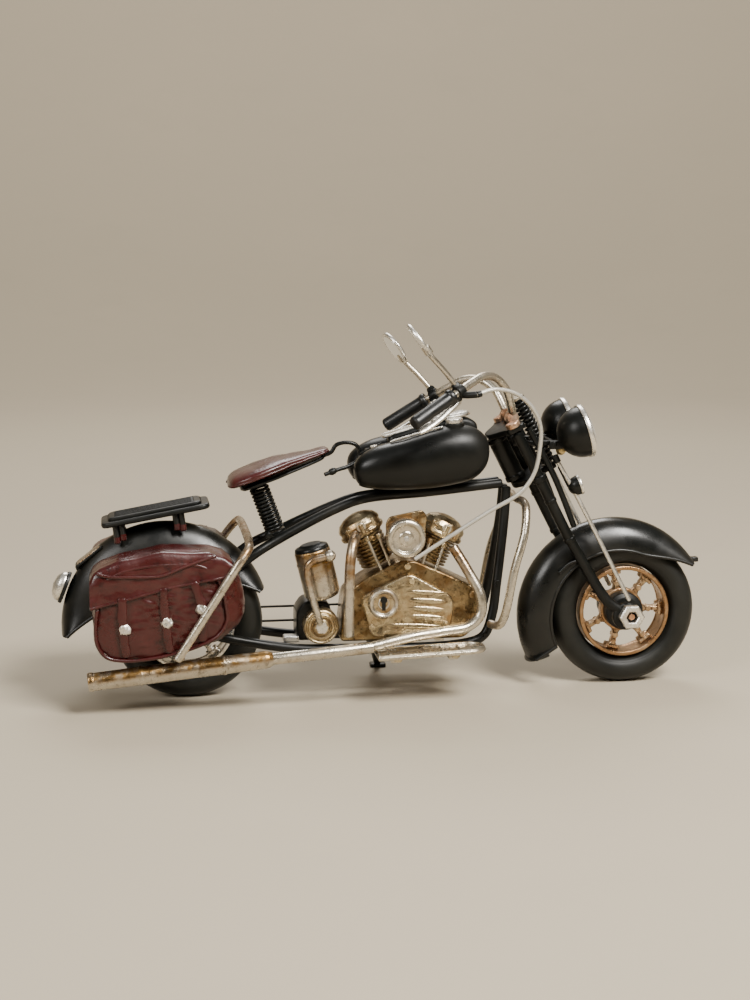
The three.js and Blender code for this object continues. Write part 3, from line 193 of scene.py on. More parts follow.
# %% Tubes, turned pieces and plates
def tube(points, radius, sides=20, steps=8, wide=1.0, thick=1.0, flat_to=None, curve=True):
    """A ring of points carried along a path: centre + radius (cos a side + sin a up), eased in at each end."""
    path = smooth(points, steps) if curve and len(points) > 2 else np.asarray(points, float)
    if len(path) == 2:
        path = path[0] + np.linspace(0, 1, 6)[:, None] * (path[1] - path[0])
    stations = np.linspace(0, 1, max(2, np.size(radius)))
    r = np.interp(np.linspace(0, 1, len(path)), stations, np.broadcast_to(radius, len(stations)))
    tangent = unit(np.gradient(path, axis=0))
    ref = np.linalg.svd(tangent)[2][-1] if flat_to is None else np.asarray(flat_to, float)
    side = unit(np.cross(tangent, ref))
    up = np.cross(side, tangent)
    ease = 0.3 * r[0], 0.3 * r[-1]
    keep = (np.linalg.norm(path - path[0], axis=1) > 1.4 * ease[0]) & \
        (np.linalg.norm(path - path[-1], axis=1) > 1.4 * ease[1])

    def ends(rows, first, last):
        return np.concatenate([first, rows[keep], last])

    centre = ends(path, [path[0], path[0] + tangent[0] * ease[0]],
                  [path[-1] - tangent[-1] * ease[1], path[-1]])
    side = ends(side, side[[0, 0]], side[[-1, -1]])
    up = ends(up, up[[0, 0]], up[[-1, -1]])
    r = ends(r, [0.72 * r[0], r[0]], [r[-1], 0.72 * r[-1]])
    a = np.linspace(0, 2 * np.pi, sides, endpoint=False)[None, :, None]
    ring = np.cos(a) * side[:, None] * wide + np.sin(a) * up[:, None] * thick
    return skin(centre[:, None] + r[:, None, None] * ring)


def turned(profile, at, direction, sides=40, corner=0.0, squeeze=(1, 1, 1)):
    """Pairs of (along, radius) carried round an axis; an end whose radius is nought closes in a pole."""
    profile = eased(profile, corner) if corner else np.asarray(profile, float)
    axis = unit(direction)
    side = unit(np.cross(axis, (0, 0, 1) if abs(axis[2]) < 0.9 else (1, 0, 0)))
    up = np.cross(axis, side)
    a = np.linspace(0, 2 * np.pi, sides, endpoint=False)[None, :, None]
    round_ = np.cos(a) * side + np.sin(a) * up
    pole = [profile[e, 0] * axis for e in (0, -1)]
    body = profile[(1 if profile[0, 1] < 1e-6 else 0):(len(profile) - (1 if profile[-1, 1] < 1e-6 else 0))]
    rings = body[:, 0, None, None] * axis + body[:, 1, None, None] * round_
    made = skin(rings, pole)
    made["v"] = made["v"] * np.asarray(squeeze, float) + np.asarray(at, float)
    return made


def hoop(section, at, direction, sides=96):
    """A closed section of (along, radius) pairs carried right round an axis, such as a tyre."""
    axis = unit(direction)
    side = unit(np.cross(axis, (0, 0, 1) if abs(axis[2]) < 0.9 else (1, 0, 0)))
    up = np.cross(axis, side)
    a = np.linspace(0, 2 * np.pi, sides, endpoint=False)[None, :, None]
    section = np.asarray(section, float)
    # The first index runs round the axis, so the rings are the section's own copies.
    round_ = np.cos(a) * side + np.sin(a) * up
    rings = section[:, 0, None, None] * axis + section[:, 1, None, None] * round_
    return skin(rings.transpose(1, 0, 2) + np.asarray(at, float), ring_of_rings=True)


def upright(a, b, h):
    """Outline in the side view, height across the machine."""
    return np.stack([a, h, b], -1)


def level(a, b, h):
    """Outline in the plan view, height upwards."""
    return np.stack([a, b, h], -1)


def slab(outline, low, high, to=upright, edge=0.3):
    """A plate: copies of the outline at rising heights, drawn inwards near each face by a quarter circle."""
    p = np.asarray(outline, float)
    tangent = np.roll(p, -1, 0) - np.roll(p, 1, 0)
    area = 0.5 * np.sum(p[:, 0] * np.roll(p[:, 1], -1) - p[:, 1] * np.roll(p[:, 0], -1))
    inward = unit(np.stack([-tangent[:, 1], tangent[:, 0]], -1)) * np.sign(area)
    a = np.linspace(0, np.pi / 2, 4)
    inset = np.concatenate([edge * (1 - np.sin(a)), edge * (1 - np.cos(a))])
    height = np.concatenate([low + edge * (1 - np.cos(a)), high - edge * (1 - np.sin(a))])
    ring = p[None] + inward[None] * inset[:, None, None]
    return skin(to(ring[..., 0], ring[..., 1], np.broadcast_to(height[:, None], ring.shape[:2])))


def brick(x0, x1, y0, y1, z0, z1, edge=0.25):
    """A block with eased edges."""
    corner = refine(eased([(x0, y0), (x1, y0), (x1, y1), (x0, y1)], edge, 3, True), 0.8)
    return slab(corner, z0, z1, level, edge)


def disc(at, direction, low, high, radius, sides=32, edge=0.2):
    """A short round rod between two distances along a direction, with eased rims."""
    return turned([(low, 0), (low, radius), (high, radius), (high, 0)], at, direction, sides, edge)


def coil(foot, head, radius, wire, turns, sides=10):
    """A wire wound round a line: centre + radius (cos a side + sin a up), its end turns lying closer."""
    foot, head = np.asarray(foot, float), np.asarray(head, float)
    axis = unit(head - foot)
    side = unit(np.cross(axis, (0, 1, 0)))
    up = np.cross(axis, side)
    s = np.linspace(0, 1, int(turns * 22))
    a = s * turns * 2 * np.pi
    length = np.linalg.norm(head - foot) - 2 * wire
    rise_ = np.clip((s - 0.5) * 1.06 + 0.5, 0.0, 1.0) * length + wire
    round_ = np.cos(a)[:, None] * side + np.sin(a)[:, None] * up
    centre = foot + rise_[:, None] * axis + (radius - wire) * round_
    return tube(centre, wire, sides, flat_to=axis, curve=False)


def flipped(patch):
    """The same patch on the other side of the machine."""
    return outward({**patch, "v": patch["v"] * np.array([1, -1, 1])})


def moved(patch, matrix, shift=(0, 0, 0)):
    """Every point of a patch turned by a 3 by 3 matrix, then shifted."""
    return outward({**patch, "v": patch["v"] @ np.asarray(matrix, float).T + np.asarray(shift, float)})


def leaning(angle):
    """The 3 by 3 matrix that turns the forward direction upwards by an angle, about the line across."""
    return np.array([[math.cos(angle), 0, -math.sin(angle)], [0, 1, 0],
                     [math.sin(angle), 0, math.cos(angle)]])


# Radii in millimetres that several pieces share: rolled edges and piping, frame tube, bars and guards.
BEAD, TUBE, BAR = 0.55, 1.5, 1.3

# %% [markdown]
# Every finish is painted tin or cast metal that has been rubbed by hand: one colour, a second that
# shows through in patches and on worn places, and a darker one that sits in the grain. A value
# called wear, kept on the points, says where hands have rubbed or where the second coat was wiped on.

# %% The finish maker
def finish(name, base, worn, deep, metal, rough, patch=110, grain=900, bump=0.2, show=0.35, rub=1.0,
           dirt=0.5, coat=0.0, spread=0.12, specular=0.5):
    """Colour = base mixed with worn by patches and wear, then with deep by a second noise."""
    material = bpy.data.materials.new(name)
    material.use_nodes = True
    nodes, links = material.node_tree.nodes, material.node_tree.links
    shader = nodes["Principled BSDF"]
    shader.inputs["Metallic"].default_value = metal
    shader.inputs["Coat Weight"].default_value = coat
    shader.inputs["Coat Roughness"].default_value = 0.22
    shader.inputs["Specular IOR Level"].default_value = specular
    where = nodes.new("ShaderNodeTexCoord").outputs["Object"]

    def noise(scale, detail, rough_=0.6):
        node = nodes.new("ShaderNodeTexNoise")
        node.inputs["Scale"].default_value = scale
        node.inputs["Detail"].default_value = detail
        node.inputs["Roughness"].default_value = rough_
        links.new(where, node.inputs["Vector"])
        return node.outputs["Fac"]

    def span(value, low, high, to_low, to_high):
        node = nodes.new("ShaderNodeMapRange")
        node.interpolation_type = "SMOOTHSTEP"
        for socket, number in zip(("From Min", "From Max", "To Min", "To Max"),
                                  (low, high, to_low, to_high)):
            node.inputs[socket].default_value = number
        links.new(value, node.inputs["Value"])
        return node.outputs["Result"]

    def blend_colour(factor, first, second):
        node = nodes.new("ShaderNodeMix")
        node.data_type = "RGBA"
        links.new(factor, node.inputs["Factor"])
        for socket, value in ((node.inputs[6], first), (node.inputs[7], second)):
            if isinstance(value, tuple):
                socket.default_value = (*value, 1.0)
            else:
                links.new(value, socket)
        return node.outputs[2]

    worn_at = nodes.new("ShaderNodeAttribute")
    worn_at.attribute_name = "wear"
    patches = noise(patch, 7)
    rubbed = nodes.new("ShaderNodeMath")
    rubbed.operation = "MULTIPLY_ADD"
    rubbed.use_clamp = True
    links.new(span(worn_at.outputs["Fac"], 0.0, 1.0, 0.0, rub), rubbed.inputs[0])
    links.new(span(noise(patch * 2.4, 6), 0.35, 0.6, 0.45, 1.0), rubbed.inputs[1])
    links.new(span(patches, 0.46, 0.72, 0.0, show), rubbed.inputs[2])
    colour = blend_colour(rubbed.outputs[0], base, worn)
    colour = blend_colour(span(noise(patch * 3.6, 8, 0.7), 0.5, 0.72, 0.0, dirt), colour, deep)
    links.new(colour, shader.inputs["Base Color"])
    links.new(span(patches, 0.3, 0.7, rough - spread, rough + spread), shader.inputs["Roughness"])
    dent = nodes.new("ShaderNodeBump")
    dent.inputs["Strength"].default_value = bump
    dent.inputs["Distance"].default_value = 0.0002
    links.new(noise(grain, 6, 0.55), dent.inputs["Height"])
    links.new(dent.outputs["Normal"], shader.inputs["Normal"])
    return material


# %% The finishes
ENAMEL = finish("black_enamel", (0.0028, 0.0034, 0.0030), (0.026, 0.021, 0.012), (0.0015, 0.0016, 0.0014),
                0.0, 0.33, patch=70, grain=1500, bump=0.06, show=0.22, rub=0.8, dirt=0.3, coat=0.1,
                specular=0.4)
SATIN = finish("satin_black", (0.0030, 0.0035, 0.0030), (0.018, 0.016, 0.011), (0.0015, 0.0016, 0.0014),
               0.0, 0.38, patch=60, grain=1300, bump=0.08, show=0.2, rub=0.9, dirt=0.3, coat=0.03,
               specular=0.28)
SILVER = finish("antique_silver", (0.60, 0.55, 0.45), (0.30, 0.18, 0.085), (0.13, 0.085, 0.045), 0.92, 0.29,
                patch=190, grain=1300, bump=0.4, show=0.35, rub=1.0, dirt=0.6)
BRIGHT = finish("bright_silver", (0.80, 0.77, 0.70), (0.42, 0.33, 0.22), (0.12, 0.10, 0.08), 0.9, 0.3,
                patch=300, grain=1800, bump=0.35, show=0.25, rub=0.8, dirt=0.55)
CAST = finish("cast_pewter", (0.60, 0.50, 0.32), (0.24, 0.14, 0.055), (0.035, 0.020, 0.009), 0.95, 0.27,
              patch=165, grain=800, bump=0.7, show=0.5, rub=0.9, dirt=0.85)
# A darker brown-gold cast tone. Its base is also kept dark as painted shade for the case and the cylinders,
# which sit in shade between the covers, the tank and the pipes.
STAINED_AND_SHADED = finish("stained_and_shaded_pewter", (0.36, 0.27, 0.145), (0.17, 0.095, 0.036), (0.016, 0.009, 0.004), 0.95,
                 0.29, patch=165, grain=800, bump=0.7, show=0.6, rub=0.9, dirt=0.95)
GILT = finish("gilt_muffler", (0.56, 0.51, 0.42), (0.27, 0.155, 0.05), (0.055, 0.032, 0.014), 0.92, 0.31,
              patch=150, grain=900, bump=0.6, show=0.2, rub=1.0, dirt=0.7)
BRONZE = finish("aged_bronze", (0.34, 0.195, 0.095), (0.62, 0.47, 0.30), (0.075, 0.038, 0.018), 0.9, 0.34,
                patch=230, grain=1200, bump=0.5, show=0.4, rub=0.8, dirt=0.7)
COPPER = finish("aged_copper", (0.52, 0.27, 0.15), (0.70, 0.55, 0.42), (0.12, 0.055, 0.03), 0.9, 0.36,
                patch=260, grain=1400, bump=0.3, show=0.4, rub=0.8, dirt=0.5)
MAROON = finish("maroon_paint", (0.040, 0.0044, 0.0040), (0.072, 0.0105, 0.0085), (0.007, 0.0016, 0.0014),
                0.0, 0.32, patch=90, grain=620, bump=0.7, show=0.4, rub=0.8, dirt=0.75, coat=0.3,
                spread=0.1, specular=0.4)
TYRE = finish("tyre_rubber", (0.0042, 0.0046, 0.0038), (0.013, 0.013, 0.010), (0.002, 0.002, 0.0018), 0.0,
              0.46, patch=60, grain=1800, bump=0.10, show=0.4, rub=1.0, dirt=0.3, spread=0.08,
              specular=0.35)
GRIP = finish("grip_rubber", (0.0040, 0.0045, 0.0045), (0.020, 0.022, 0.022), (0.002, 0.002, 0.002), 0.0,
              0.4, patch=160, grain=1600, bump=0.15, show=0.3, rub=1.0, dirt=0.3)
STEEL = finish("plated_steel", (0.56, 0.55, 0.52), (0.34, 0.30, 0.25), (0.14, 0.12, 0.10), 0.9, 0.32,
               patch=260, grain=1500, bump=0.2, show=0.3, dirt=0.4)
BRASS = finish("aged_brass", (0.55, 0.42, 0.20), (0.34, 0.22, 0.09), (0.12, 0.08, 0.035), 0.9, 0.34,
               patch=260, grain=1500, bump=0.2, show=0.4, dirt=0.5)
CABLE = finish("grey_cable", (0.54, 0.52, 0.46), (0.30, 0.27, 0.22), (0.20, 0.17, 0.13), 0.55, 0.4,
               patch=260, grain=2600, bump=0.25, show=0.3, dirt=0.35)
LENS = finish("lamp_glass", (0.70, 0.70, 0.66), (0.82, 0.82, 0.78), (0.48, 0.47, 0.43), 0.35, 0.12,
              patch=200, grain=700, bump=0.3, show=0.4, dirt=0.3, coat=0.9, spread=0.05)
GLASS = finish("mirror_glass", (0.80, 0.81, 0.82), (0.70, 0.70, 0.68), (0.45, 0.43, 0.40), 1.0, 0.1,
               patch=120, grain=700, bump=0.02, show=0.3, dirt=0.2, spread=0.05)
print(len(bpy.data.materials), "materials")


# %% Patches into an object
made_triangles = 0


def piece(name, body, parts, stands_for=(), sharp=38):
    """Joins parts, each (patch, finish) or (patch, finish, wear), into one object on a body."""
    global made_triangles
    points, faces, picks, wear, finishes, start = [], [], [], [], [], 0
    for patch, paint, *rule in parts:
        if paint not in finishes:
            finishes.append(paint)
        v = patch["v"]
        points.append(v)
        wear.append(np.clip(rule[0](v), 0, 1) if rule else np.zeros(len(v)))
        faces += (patch["q"] + start).tolist() + (patch["t"] + start).tolist()
        picks += [finishes.index(paint)] * (len(patch["q"]) + len(patch["t"]))
        start += len(v)
    mesh = bpy.data.meshes.new(name)
    mesh.from_pydata((np.vstack(points) * MM).tolist(), [], faces)
    for paint in finishes:
        mesh.materials.append(paint)
    mesh.polygons.foreach_set("material_index", np.array(picks, np.int32))
    mesh.polygons.foreach_set("use_smooth", np.ones(len(faces), bool))
    rubbed = mesh.attributes.new("wear", "FLOAT", "POINT")
    rubbed.data.foreach_set("value", np.concatenate(wear).astype(np.float32))
    mesh.set_sharp_from_angle(angle=math.radians(sharp))
    mesh.validate()
    obj = bpy.data.objects.new(name, mesh)
    bpy.context.scene.collection.objects.link(obj)
    if body:
        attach(obj, body)
    if stands_for:
        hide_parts(*stands_for)
    made_triangles += sum(len(f) - 2 for f in faces)
    print(f"{name}: {len(parts)} parts, {len(faces)} faces")
    return obj


SIDES = ((-1, "right"), (1, "left"))
ACROSS = (0, 1, 0)


def on_side(points, side):
    """The points with their distance across the machine given a sign."""
    return np.asarray(points, float) * np.array([1, side, 1])


# %% [markdown]
# The wheels. The tyre is a plain round rubber ring with a fine moulding line beside the rim. The rim
# is one casting: a barrel with two raised lips and seven flat spokes that widen at both ends, each
# with a bolt head near the hub and a square lug near the barrel. A hub turns on the axle inside it.

# %% Wheels
TYRE_R, AXLE_Z, FRONT_X = 23.5, 23.5, 139.0
a = np.linspace(0, 2 * np.pi, 40, endpoint=False)
power = 2 / 2.25
section = np.stack([5.6 * np.sign(np.cos(a)) * abs(np.cos(a)) ** power,
                    19.2 + 4.3 * np.sign(np.sin(a)) * abs(np.sin(a)) ** power], -1)


def tyre(x):
    """The oval section carried round the axle, with a small raised line low on each wall."""
    line = [hoop([(s * y, r) for y, r in ((4.55, 16.5), (4.95, 16.9), (4.7, 16.3), (4.4, 16.1))],
                 (x, 0, AXLE_Z), ACROSS) for s in (-1, 1)]
    dusty = lambda p: 0.5 + 0.5 * ripple(p, 30, 3)
    return [(hoop(section, (x, 0, AXLE_Z), ACROSS, 128), TYRE, dusty)] + [(l, TYRE) for l in line]


def rim(x, metal, hub_metal, hub_profile):
    """The barrel's channel section carried round, spokes as plates turned to their angles, and bolt heads."""
    at = (x, 0, AXLE_Z)
    channel = eased([(-4.8, 14.55), (-4.8, 13.35), (-4.0, 13.25), (-3.2, 13.5), (3.2, 13.5), (4.0, 13.25),
                     (4.8, 13.35), (4.8, 14.55), (4.1, 14.75), (3.4, 14.4), (-3.4, 14.4), (-4.1, 14.75)],
                    0.3, 3, True)
    collar = eased([(-1.7, 5.5), (1.7, 5.5), (1.7, 6.9), (-1.7, 6.9)], 0.35, 3, True)
    parts = [(hoop(channel, at, ACROSS), metal), (hoop(collar, at, ACROSS), metal)]
    shape = [(6.5, 1.5), (7.6, 0.95), (9.6, 0.78), (11.2, 0.9), (12.2, 1.5), (13.6, 2.2)]
    outline = refine(smooth(shape + [(r, -w) for r, w in shape[::-1]], 4, True), 0.5)
    for k in range(7):
        spin = leaning(2 * math.pi * k / 7)
        arm = [slab(outline, -1.3, 1.3, upright, 0.35)]
        for s in (-1, 1):
            bolt = disc((8.7, s * 1.3, 0), (0, s, 0), -0.2, 0.65, 0.95, 12, 0.2)
            ridge = slab(refine(np.array([(9.9, -0.6), (12.6, -0.7), (12.6, 0.7), (9.9, 0.6)]), 0.5),
                         min(s * 1.0, s * 2.0), max(s * 1.0, s * 2.0), upright, 0.25)
            lug = slab(refine(np.array([(11.7, -1.9), (12.9, -2.2), (12.9, 2.2), (11.7, 1.9)]), 0.5),
                       min(s * 1.0, s * 2.5), max(s * 1.0, s * 2.5), upright, 0.3)
            dot = disc((12.3, s * 2.4, 0), (0, s, 0), -0.2, 0.45, 0.6, 10, 0.15)
            arm += [bolt, ridge, lug, dot]
        parts += [(moved(part, spin, at), metal, lambda p: 0.5 + 0.5 * ripple(p, 3, 7)) for part in arm]
    parts.append((turned(hub_profile, at, ACROSS, 40, 0.3), hub_metal))
    return parts


hub = [(-6, 0), (-6, 4.6), (-5.2, 6.0), (-1.7, 6.1), (1.7, 6.1), (3.4, 4.6), (6, 3.7), (6, 0)]
piece("tyre_front", "front_wheel", tyre(FRONT_X), ["front_tyre"])
piece("rim_front", "front_wheel", rim(FRONT_X, BRONZE, SATIN, hub), ["front_rim"])
piece("tyre_rear", "rear_wheel", tyre(0), ["rear_tyre"])
pulley = [(5.9, 0), (6.1, 2.2), (6.28, 2.2), (6.28, 1.65), (7.32, 1.65), (7.32, 2.2), (7.5, 2.2), (7.5, 0)]
rear_rim = rim(0, BRIGHT, STEEL, hub) + [(turned(pulley, (0, 0, AXLE_Z), ACROSS, 32, 0.05), STEEL)]
piece("rim_rear", "rear_wheel", rear_rim, ["rear_rim"])

# %% [markdown]
# The fenders are pressed from thin tin: half an oval across, carried round the wheel, and shallower
# towards each tip. A wire is rolled into each edge. The crown is rubbed to an olive brown.


# %% Fenders
def fender(x, z, radius, depth, start, stop, tips, wall=0.9, half=7.2):
    """Section r = R - wall - (reach - wall)(1 - cos a), y = (half - wall) sin a, from start to stop."""
    u, v = np.linspace(0, 1, 97)[:, None], np.linspace(0, 1, 33)[None, :]
    angle = np.radians(start + (stop - start) * u)
    tip = np.clip(np.minimum(u / tips[0], (1 - u) / tips[1]), 0, 1)
    reach = 1.6 + (depth - 1.6) * np.sin(np.pi / 2 * tip)
    a = (v - 0.5) * np.pi

    def face(t):
        r = radius - t - (reach - t) * (1 - np.cos(a))
        return np.stack(np.broadcast_arrays(x + r * np.cos(angle), (half - t) * np.sin(a),
                                            z + r * np.sin(angle)), -1)

    outer, inner = face(0), face(wall)
    crown = lambda p: np.clip(1.25 - abs(p[:, 1]) / 4.5, 0, 1) * (0.5 + 0.5 * ripple(p, 25, 11))
    beads = [tube(outer[:, e] + (0, -0.15 if e else 0.15, 0), BEAD, 10, curve=False) for e in (0, -1)]
    return [(walled(outer, inner), ENAMEL, crown)] + [(bead, ENAMEL) for bead in beads]


REAR = dict(x=-6.3, z=23.2, radius=32.3)
rear = fender(depth=12, start=184, stop=20, tips=(0.16, 0.2), **REAR)
piece("fender_rear", "frame", rear, ["rear_fender"])
front = fender(136, 22.3, 31, 9.5, 207, 33, (0.008, 0.22))
front.append((brick(161.2, 164.2, -1.3, 1.3, 38.2, 39.7, 0.3), ENAMEL))
lip_turn, lip_at = math.radians(207.6), np.linspace(-1.35, 1.35, 15)
lip_far = 30.9 - 7.9 * (1 - np.cos(lip_at))
lip = np.stack([136 + lip_far * math.cos(lip_turn), 6.9 * np.sin(lip_at),
                22.3 + lip_far * math.sin(lip_turn)], -1)
front.append((tube(lip, 0.85, 12), ENAMEL))
for side, word in SIDES:
    strut = on_side([(123.4, 9.0, 41.4), (120.4, 7.6, 40.2), (116.8, 7.2, 37.0)], side)
    front.append((tube(strut, 0.6, 12), ENAMEL))
    front.append((disc((123.4, side * 8.4, 41.6), (0, side, 0), -1.1, 0.6, 1.7, 20), ENAMEL))
piece("fender_front", "steering", front, ["front_fender"])

# %% [markdown]
# The frame is made from round black tube. On each side one rail runs back from the head under the
# tank, bends down behind the saddle spring and ends at the axle. A second goes down in front of the
# engine, bends under it and meets the first at the same axle. Lugs with bolt heads join them.

# %% Frame tubes
RAIL = [(99.2, 2.3, 65.4), (76, 2.5, 63.1), (55, 3, 61.4), (46, 3.8, 58.4), (27.5, 7, 49.6),
        (19.6, 9.2, 45.2), (9, 9.2, 36.5), (0.5, 9.2, 24.5)]
CRADLE = [(100.6, 2.3, 64.4), (99.8, 3.2, 54.2), (97, 6, 34), (95.2, 7.8, 24), (92.4, 8.6, 17.95),
          (85.4, 9.2, 15.75), (42.9, 10.2, 15.75), (34, 10.2, 16.05), (16.6, 10, 18.9), (4.6, 9.2, 21.7)]
RAKE = math.radians(27)
SPRING_FOOT, SPRING_HEAD = np.array([27.7, 0, 52.0]), np.array([22.8, 0, 65.4])
edge_rub = lambda p: 0.5 * np.clip(ripple(p, 14, 5), 0, 1)


LEAN, HEAD = leaning(RAKE), np.array([100.4, 0, 74.2])
HEAD_AXIS = LEAN @ np.array([0, 0, 1.0])


def head_point(ahead, y, up):
    """A point in the leaning frame of the steering head: HEAD + LEAN (ahead, y, up)."""
    return HEAD + LEAN @ np.array([ahead, y, up])



for side, word in SIDES:
    axle = (0, side * 9.2, AXLE_Z)
    rail = [(tube(on_side(RAIL, side), TUBE, 20), SATIN, edge_rub),
            (disc(axle, ACROSS, -1.1, 1.1, 3.0), SATIN),
            (disc((0, side * 10.2, AXLE_Z), (0, side, 0), -0.3, 0.7, 1.9, 6, 0.15), STEEL)]
    if side < 0:
        cup = unit(SPRING_HEAD - SPRING_FOOT)
        rail.append((tube([(27.5, -7, 49.6), (27.5, 5.15, 49.6)], 1.4, 16), SATIN))
        rail.append((disc(SPRING_FOOT, cup, -2.6, -0.35, 3.2), SATIN))
    piece(f"rail_{word}", "frame", rail, [f"upper_rail_{word}"])
    lower = [(tube(on_side(CRADLE, side), TUBE, 20), SATIN, edge_rub)]
    for spot in ((92.9, 8.6, 18.4), (97.0, 6.0, 34.5)):
        lower.append((disc(np.array(spot) * (1, side, 1), (0, side, 0), 1.2, 2.0, 0.9, 6, 0.15), SATIN))
    if side > 0:
        lower.append((brick(58.4, 61.6, 8.4, 11.85, 11, 14.6), SATIN))
        lower.append((disc((60, 13.6, 12.4), ACROSS, -3.2, 1.9, 0.5, 16, 0.1), STEEL))
    piece(f"cradle_tube_{word}", "frame", lower, [f"cradle_{word}"])

head = [(-8.6, 2.0), (-8.6, 3.3), (-7.2, 3.3), (-6.9, 3.0), (4.6, 3.0), (4.9, 3.3), (6.2, 3.3), (6.2, 2.0)]
piece("head_shell", "frame", [(turned(head, HEAD, HEAD_AXIS, 40, 0.25), SATIN, edge_rub)], ["head_tube"])

# %% [markdown]
# Two guards of thick silvered wire: one stands behind the rider's legs and loops over both bags, the
# other is a hoop in front of the engine. The brown undercoat shows where they have been rubbed.

# %% Guards
half = [(-4.2, 28.7, 18), (6, 28.5, 33.5), (14.6, 28.5, 46.8), (17.6, 26, 50.6), (18.2, 19.5, 51.6),
        (18.4, 6, 51.8)]
loop = np.vstack([on_side(half, -1), on_side(half, 1)[::-1]])
top_rub = lambda p: np.clip((p[:, 2] - 44) / 6, 0, 1) * 0.8 + 0.25 * ripple(p, 12, 2)
piece("guard_rear", "frame", [(tube(loop, BAR, 20), SILVER, top_rub)], ["rear_guard"])

half = [(104, 4, 60.4), (104.5, 9, 60.4), (104.6, 13, 59.2), (103.4, 17, 52), (100, 19, 41), (97, 18.4, 26),
        (95.8, 16, 22.8), (94.2, 12.6, 22.4), (94.0, 11.4, 22.4)]
loop = np.vstack([on_side(half, -1)[::-1], on_side(half, 1)])
bend_rub = lambda p: np.clip((p[:, 2] - 50) / 10, 0, 1) * 0.5 + np.clip((27 - p[:, 2]) / 6, 0, 1) * 0.4
piece("guard_front", "frame", [(tube(loop, BAR, 20), SILVER, bend_rub)], ["front_guard"])

# %% [markdown]
# The luggage rack is a thick rounded casting on four pairs of wire legs: a base, and on it a deck with
# sloping edges and raised ribs along it. The tail lamp is a bright pill on a black foot, over the bent
# holder of a number plate, which is left blank.

# %% Rack, tail lamp and plate
slope = math.radians(10)
TILT = leaning(slope)
RACK = np.array([-9.3, 0, 58.9])


def oblong(half_x, half_y, corner):
    """A rectangle with rounded corners, as a closed outline."""
    box = [(-half_x, -half_y), (half_x, -half_y), (half_x, half_y), (-half_x, half_y)]
    return refine(eased(box, corner, 6, True), 0.7)


deck = [slab(oblong(16.75, 8.6, 3.0), -1.5, 0.1, level, 0.55),
        slab(oblong(14.5, 6.6, 2.4), -0.2, 1.1, level, 0.9)]
deck += [slab(oblong(12.4, 0.42, 0.4) + (0, y), 0.6, 1.35, level, 0.3) for y in (-4.2, -2.1, 0.0, 2.1, 4.2)]
rack = [(moved(part, TILT, RACK), SATIN) for part in deck]
for side, word in SIDES:
    for x in (-21.6, -19.8, -3.4, -1.6):
        top = 58.9 + (x + 9.3) * math.tan(slope) - 0.75
        foot = 23.2 + math.sqrt(32.3 ** 2 - (x + 6.3) ** 2) - 1.9
        rack.append((tube([(x, side * 6.2, top), (x + 0.8, side * 6.6, foot + 0.6)], 0.95, 12), ENAMEL))
        rack.append((tube([(x + 0.6, side * 6.5, foot + 2.2), (x + 0.8, side * 6.7, foot)], 1.02, 12),
                     MAROON))
piece("rack", "frame", rack, ["luggage_rack"])


def on_fender(degrees, out):
    """A point out from the rear fender's crown, in its middle plane."""
    t = math.radians(degrees)
    return np.array([-6.3 + (32.3 + out) * math.cos(t), 0, 23.2 + (32.3 + out) * math.sin(t)])


grimy = lambda p: np.clip(0.6 + 0.6 * ripple(p, 4, 27), 0, 1)
facing = unit(on_fender(158.5, 1) - on_fender(158.5, 0))
along_ = np.cross(facing, ACROSS)
pill = turned([(0, 0), (0, 3.1), (0.9, 3.4), (2.2, 3.1), (3.3, 2.0), (3.8, 0)], (0, 0, 0), (0, 0, 1), 40,
              0.5, (1.38, 1.0, 1.0))
foot = turned([(-0.5, 0), (-0.5, 3.8), (0.5, 3.8), (0.7, 3.4), (0.7, 0)], (0, 0, 0), (0, 0, 1), 40, 0.2,
              (1.34, 1, 1))
stand = np.stack([along_, ACROSS, facing], -1)
lamp = [(moved(pill, stand, on_fender(158.5, 0.95)), BRIGHT, edge_rub),
        (moved(foot, stand, on_fender(158.5, 0.95)), SATIN)]
holder = np.array([[0.79, 0, -0.61], [0, 1, 0], [0.61, 0, 0.79]])
board = slab(oblong(5.2, 3.6, 0.8), -0.4, 0.4, level, 0.25)
panel = slab(oblong(4.4, 3.0, 0.5), 0.3, 0.6, level, 0.15)
lamp += [(moved(board, holder, (-29.6, 0, 45.2)), SATIN),
         (moved(panel, holder, (-29.6, 0, 45.2)), SILVER, grimy)]
lamp.append((tube([(-33.2, 0, 42.2), (-32.6, 0, 40.0), (-33.4, 0, 38.8)], 0.9, 12), SATIN))
piece("tail_lamp_pill", "frame", lamp, ["tail_lamp"])

# %% [markdown]
# The saddlebags are hollow tin, pressed and painted to look like stuffed leather. Seen from the side,
# the back ring follows the outline of the whole bag, and the rings towards the outside draw in to the
# piped border of its face, so the front corner becomes a wide round gusset. The face is crowned and a
# little uneven. A big flap comes over the top and hangs to a slanting edge, and three straps cross it.

# %% The bag's body
BAG = [(-28.5, 38), (-29, 30), (-27.5, 22.5), (-23, 18.8), (-8, 18.3), (6, 20), (13, 23.5), (16.8, 29),
       (16.6, 35.5), (13.5, 45), (9, 47.6), (-8, 48.8), (-22, 46.3), (-26.5, 43.3)]
FACE = [(-27.2, 33.9), (-27.9, 28), (-27.5, 22.9), (-24.9, 19.1), (-19.1, 17.8), (-10.3, 18.4),
        (-2.9, 20.0), (2.6, 21.7), (8.5, 24.8), (11, 29.2), (10.6, 34), (9.4, 40), (5, 45.2), (-7, 46.5),
        (-20, 44.5), (-25.6, 41)]
BAG_MID = np.array([-7.0, 33.5])
BAG_IN, BAG_OUT = 11.2, 26.2
WALL_RINGS, FACE_RINGS, BACK_RINGS = 22, 26, 7
bag_angle = np.linspace(-np.pi, np.pi, 160, endpoint=False)


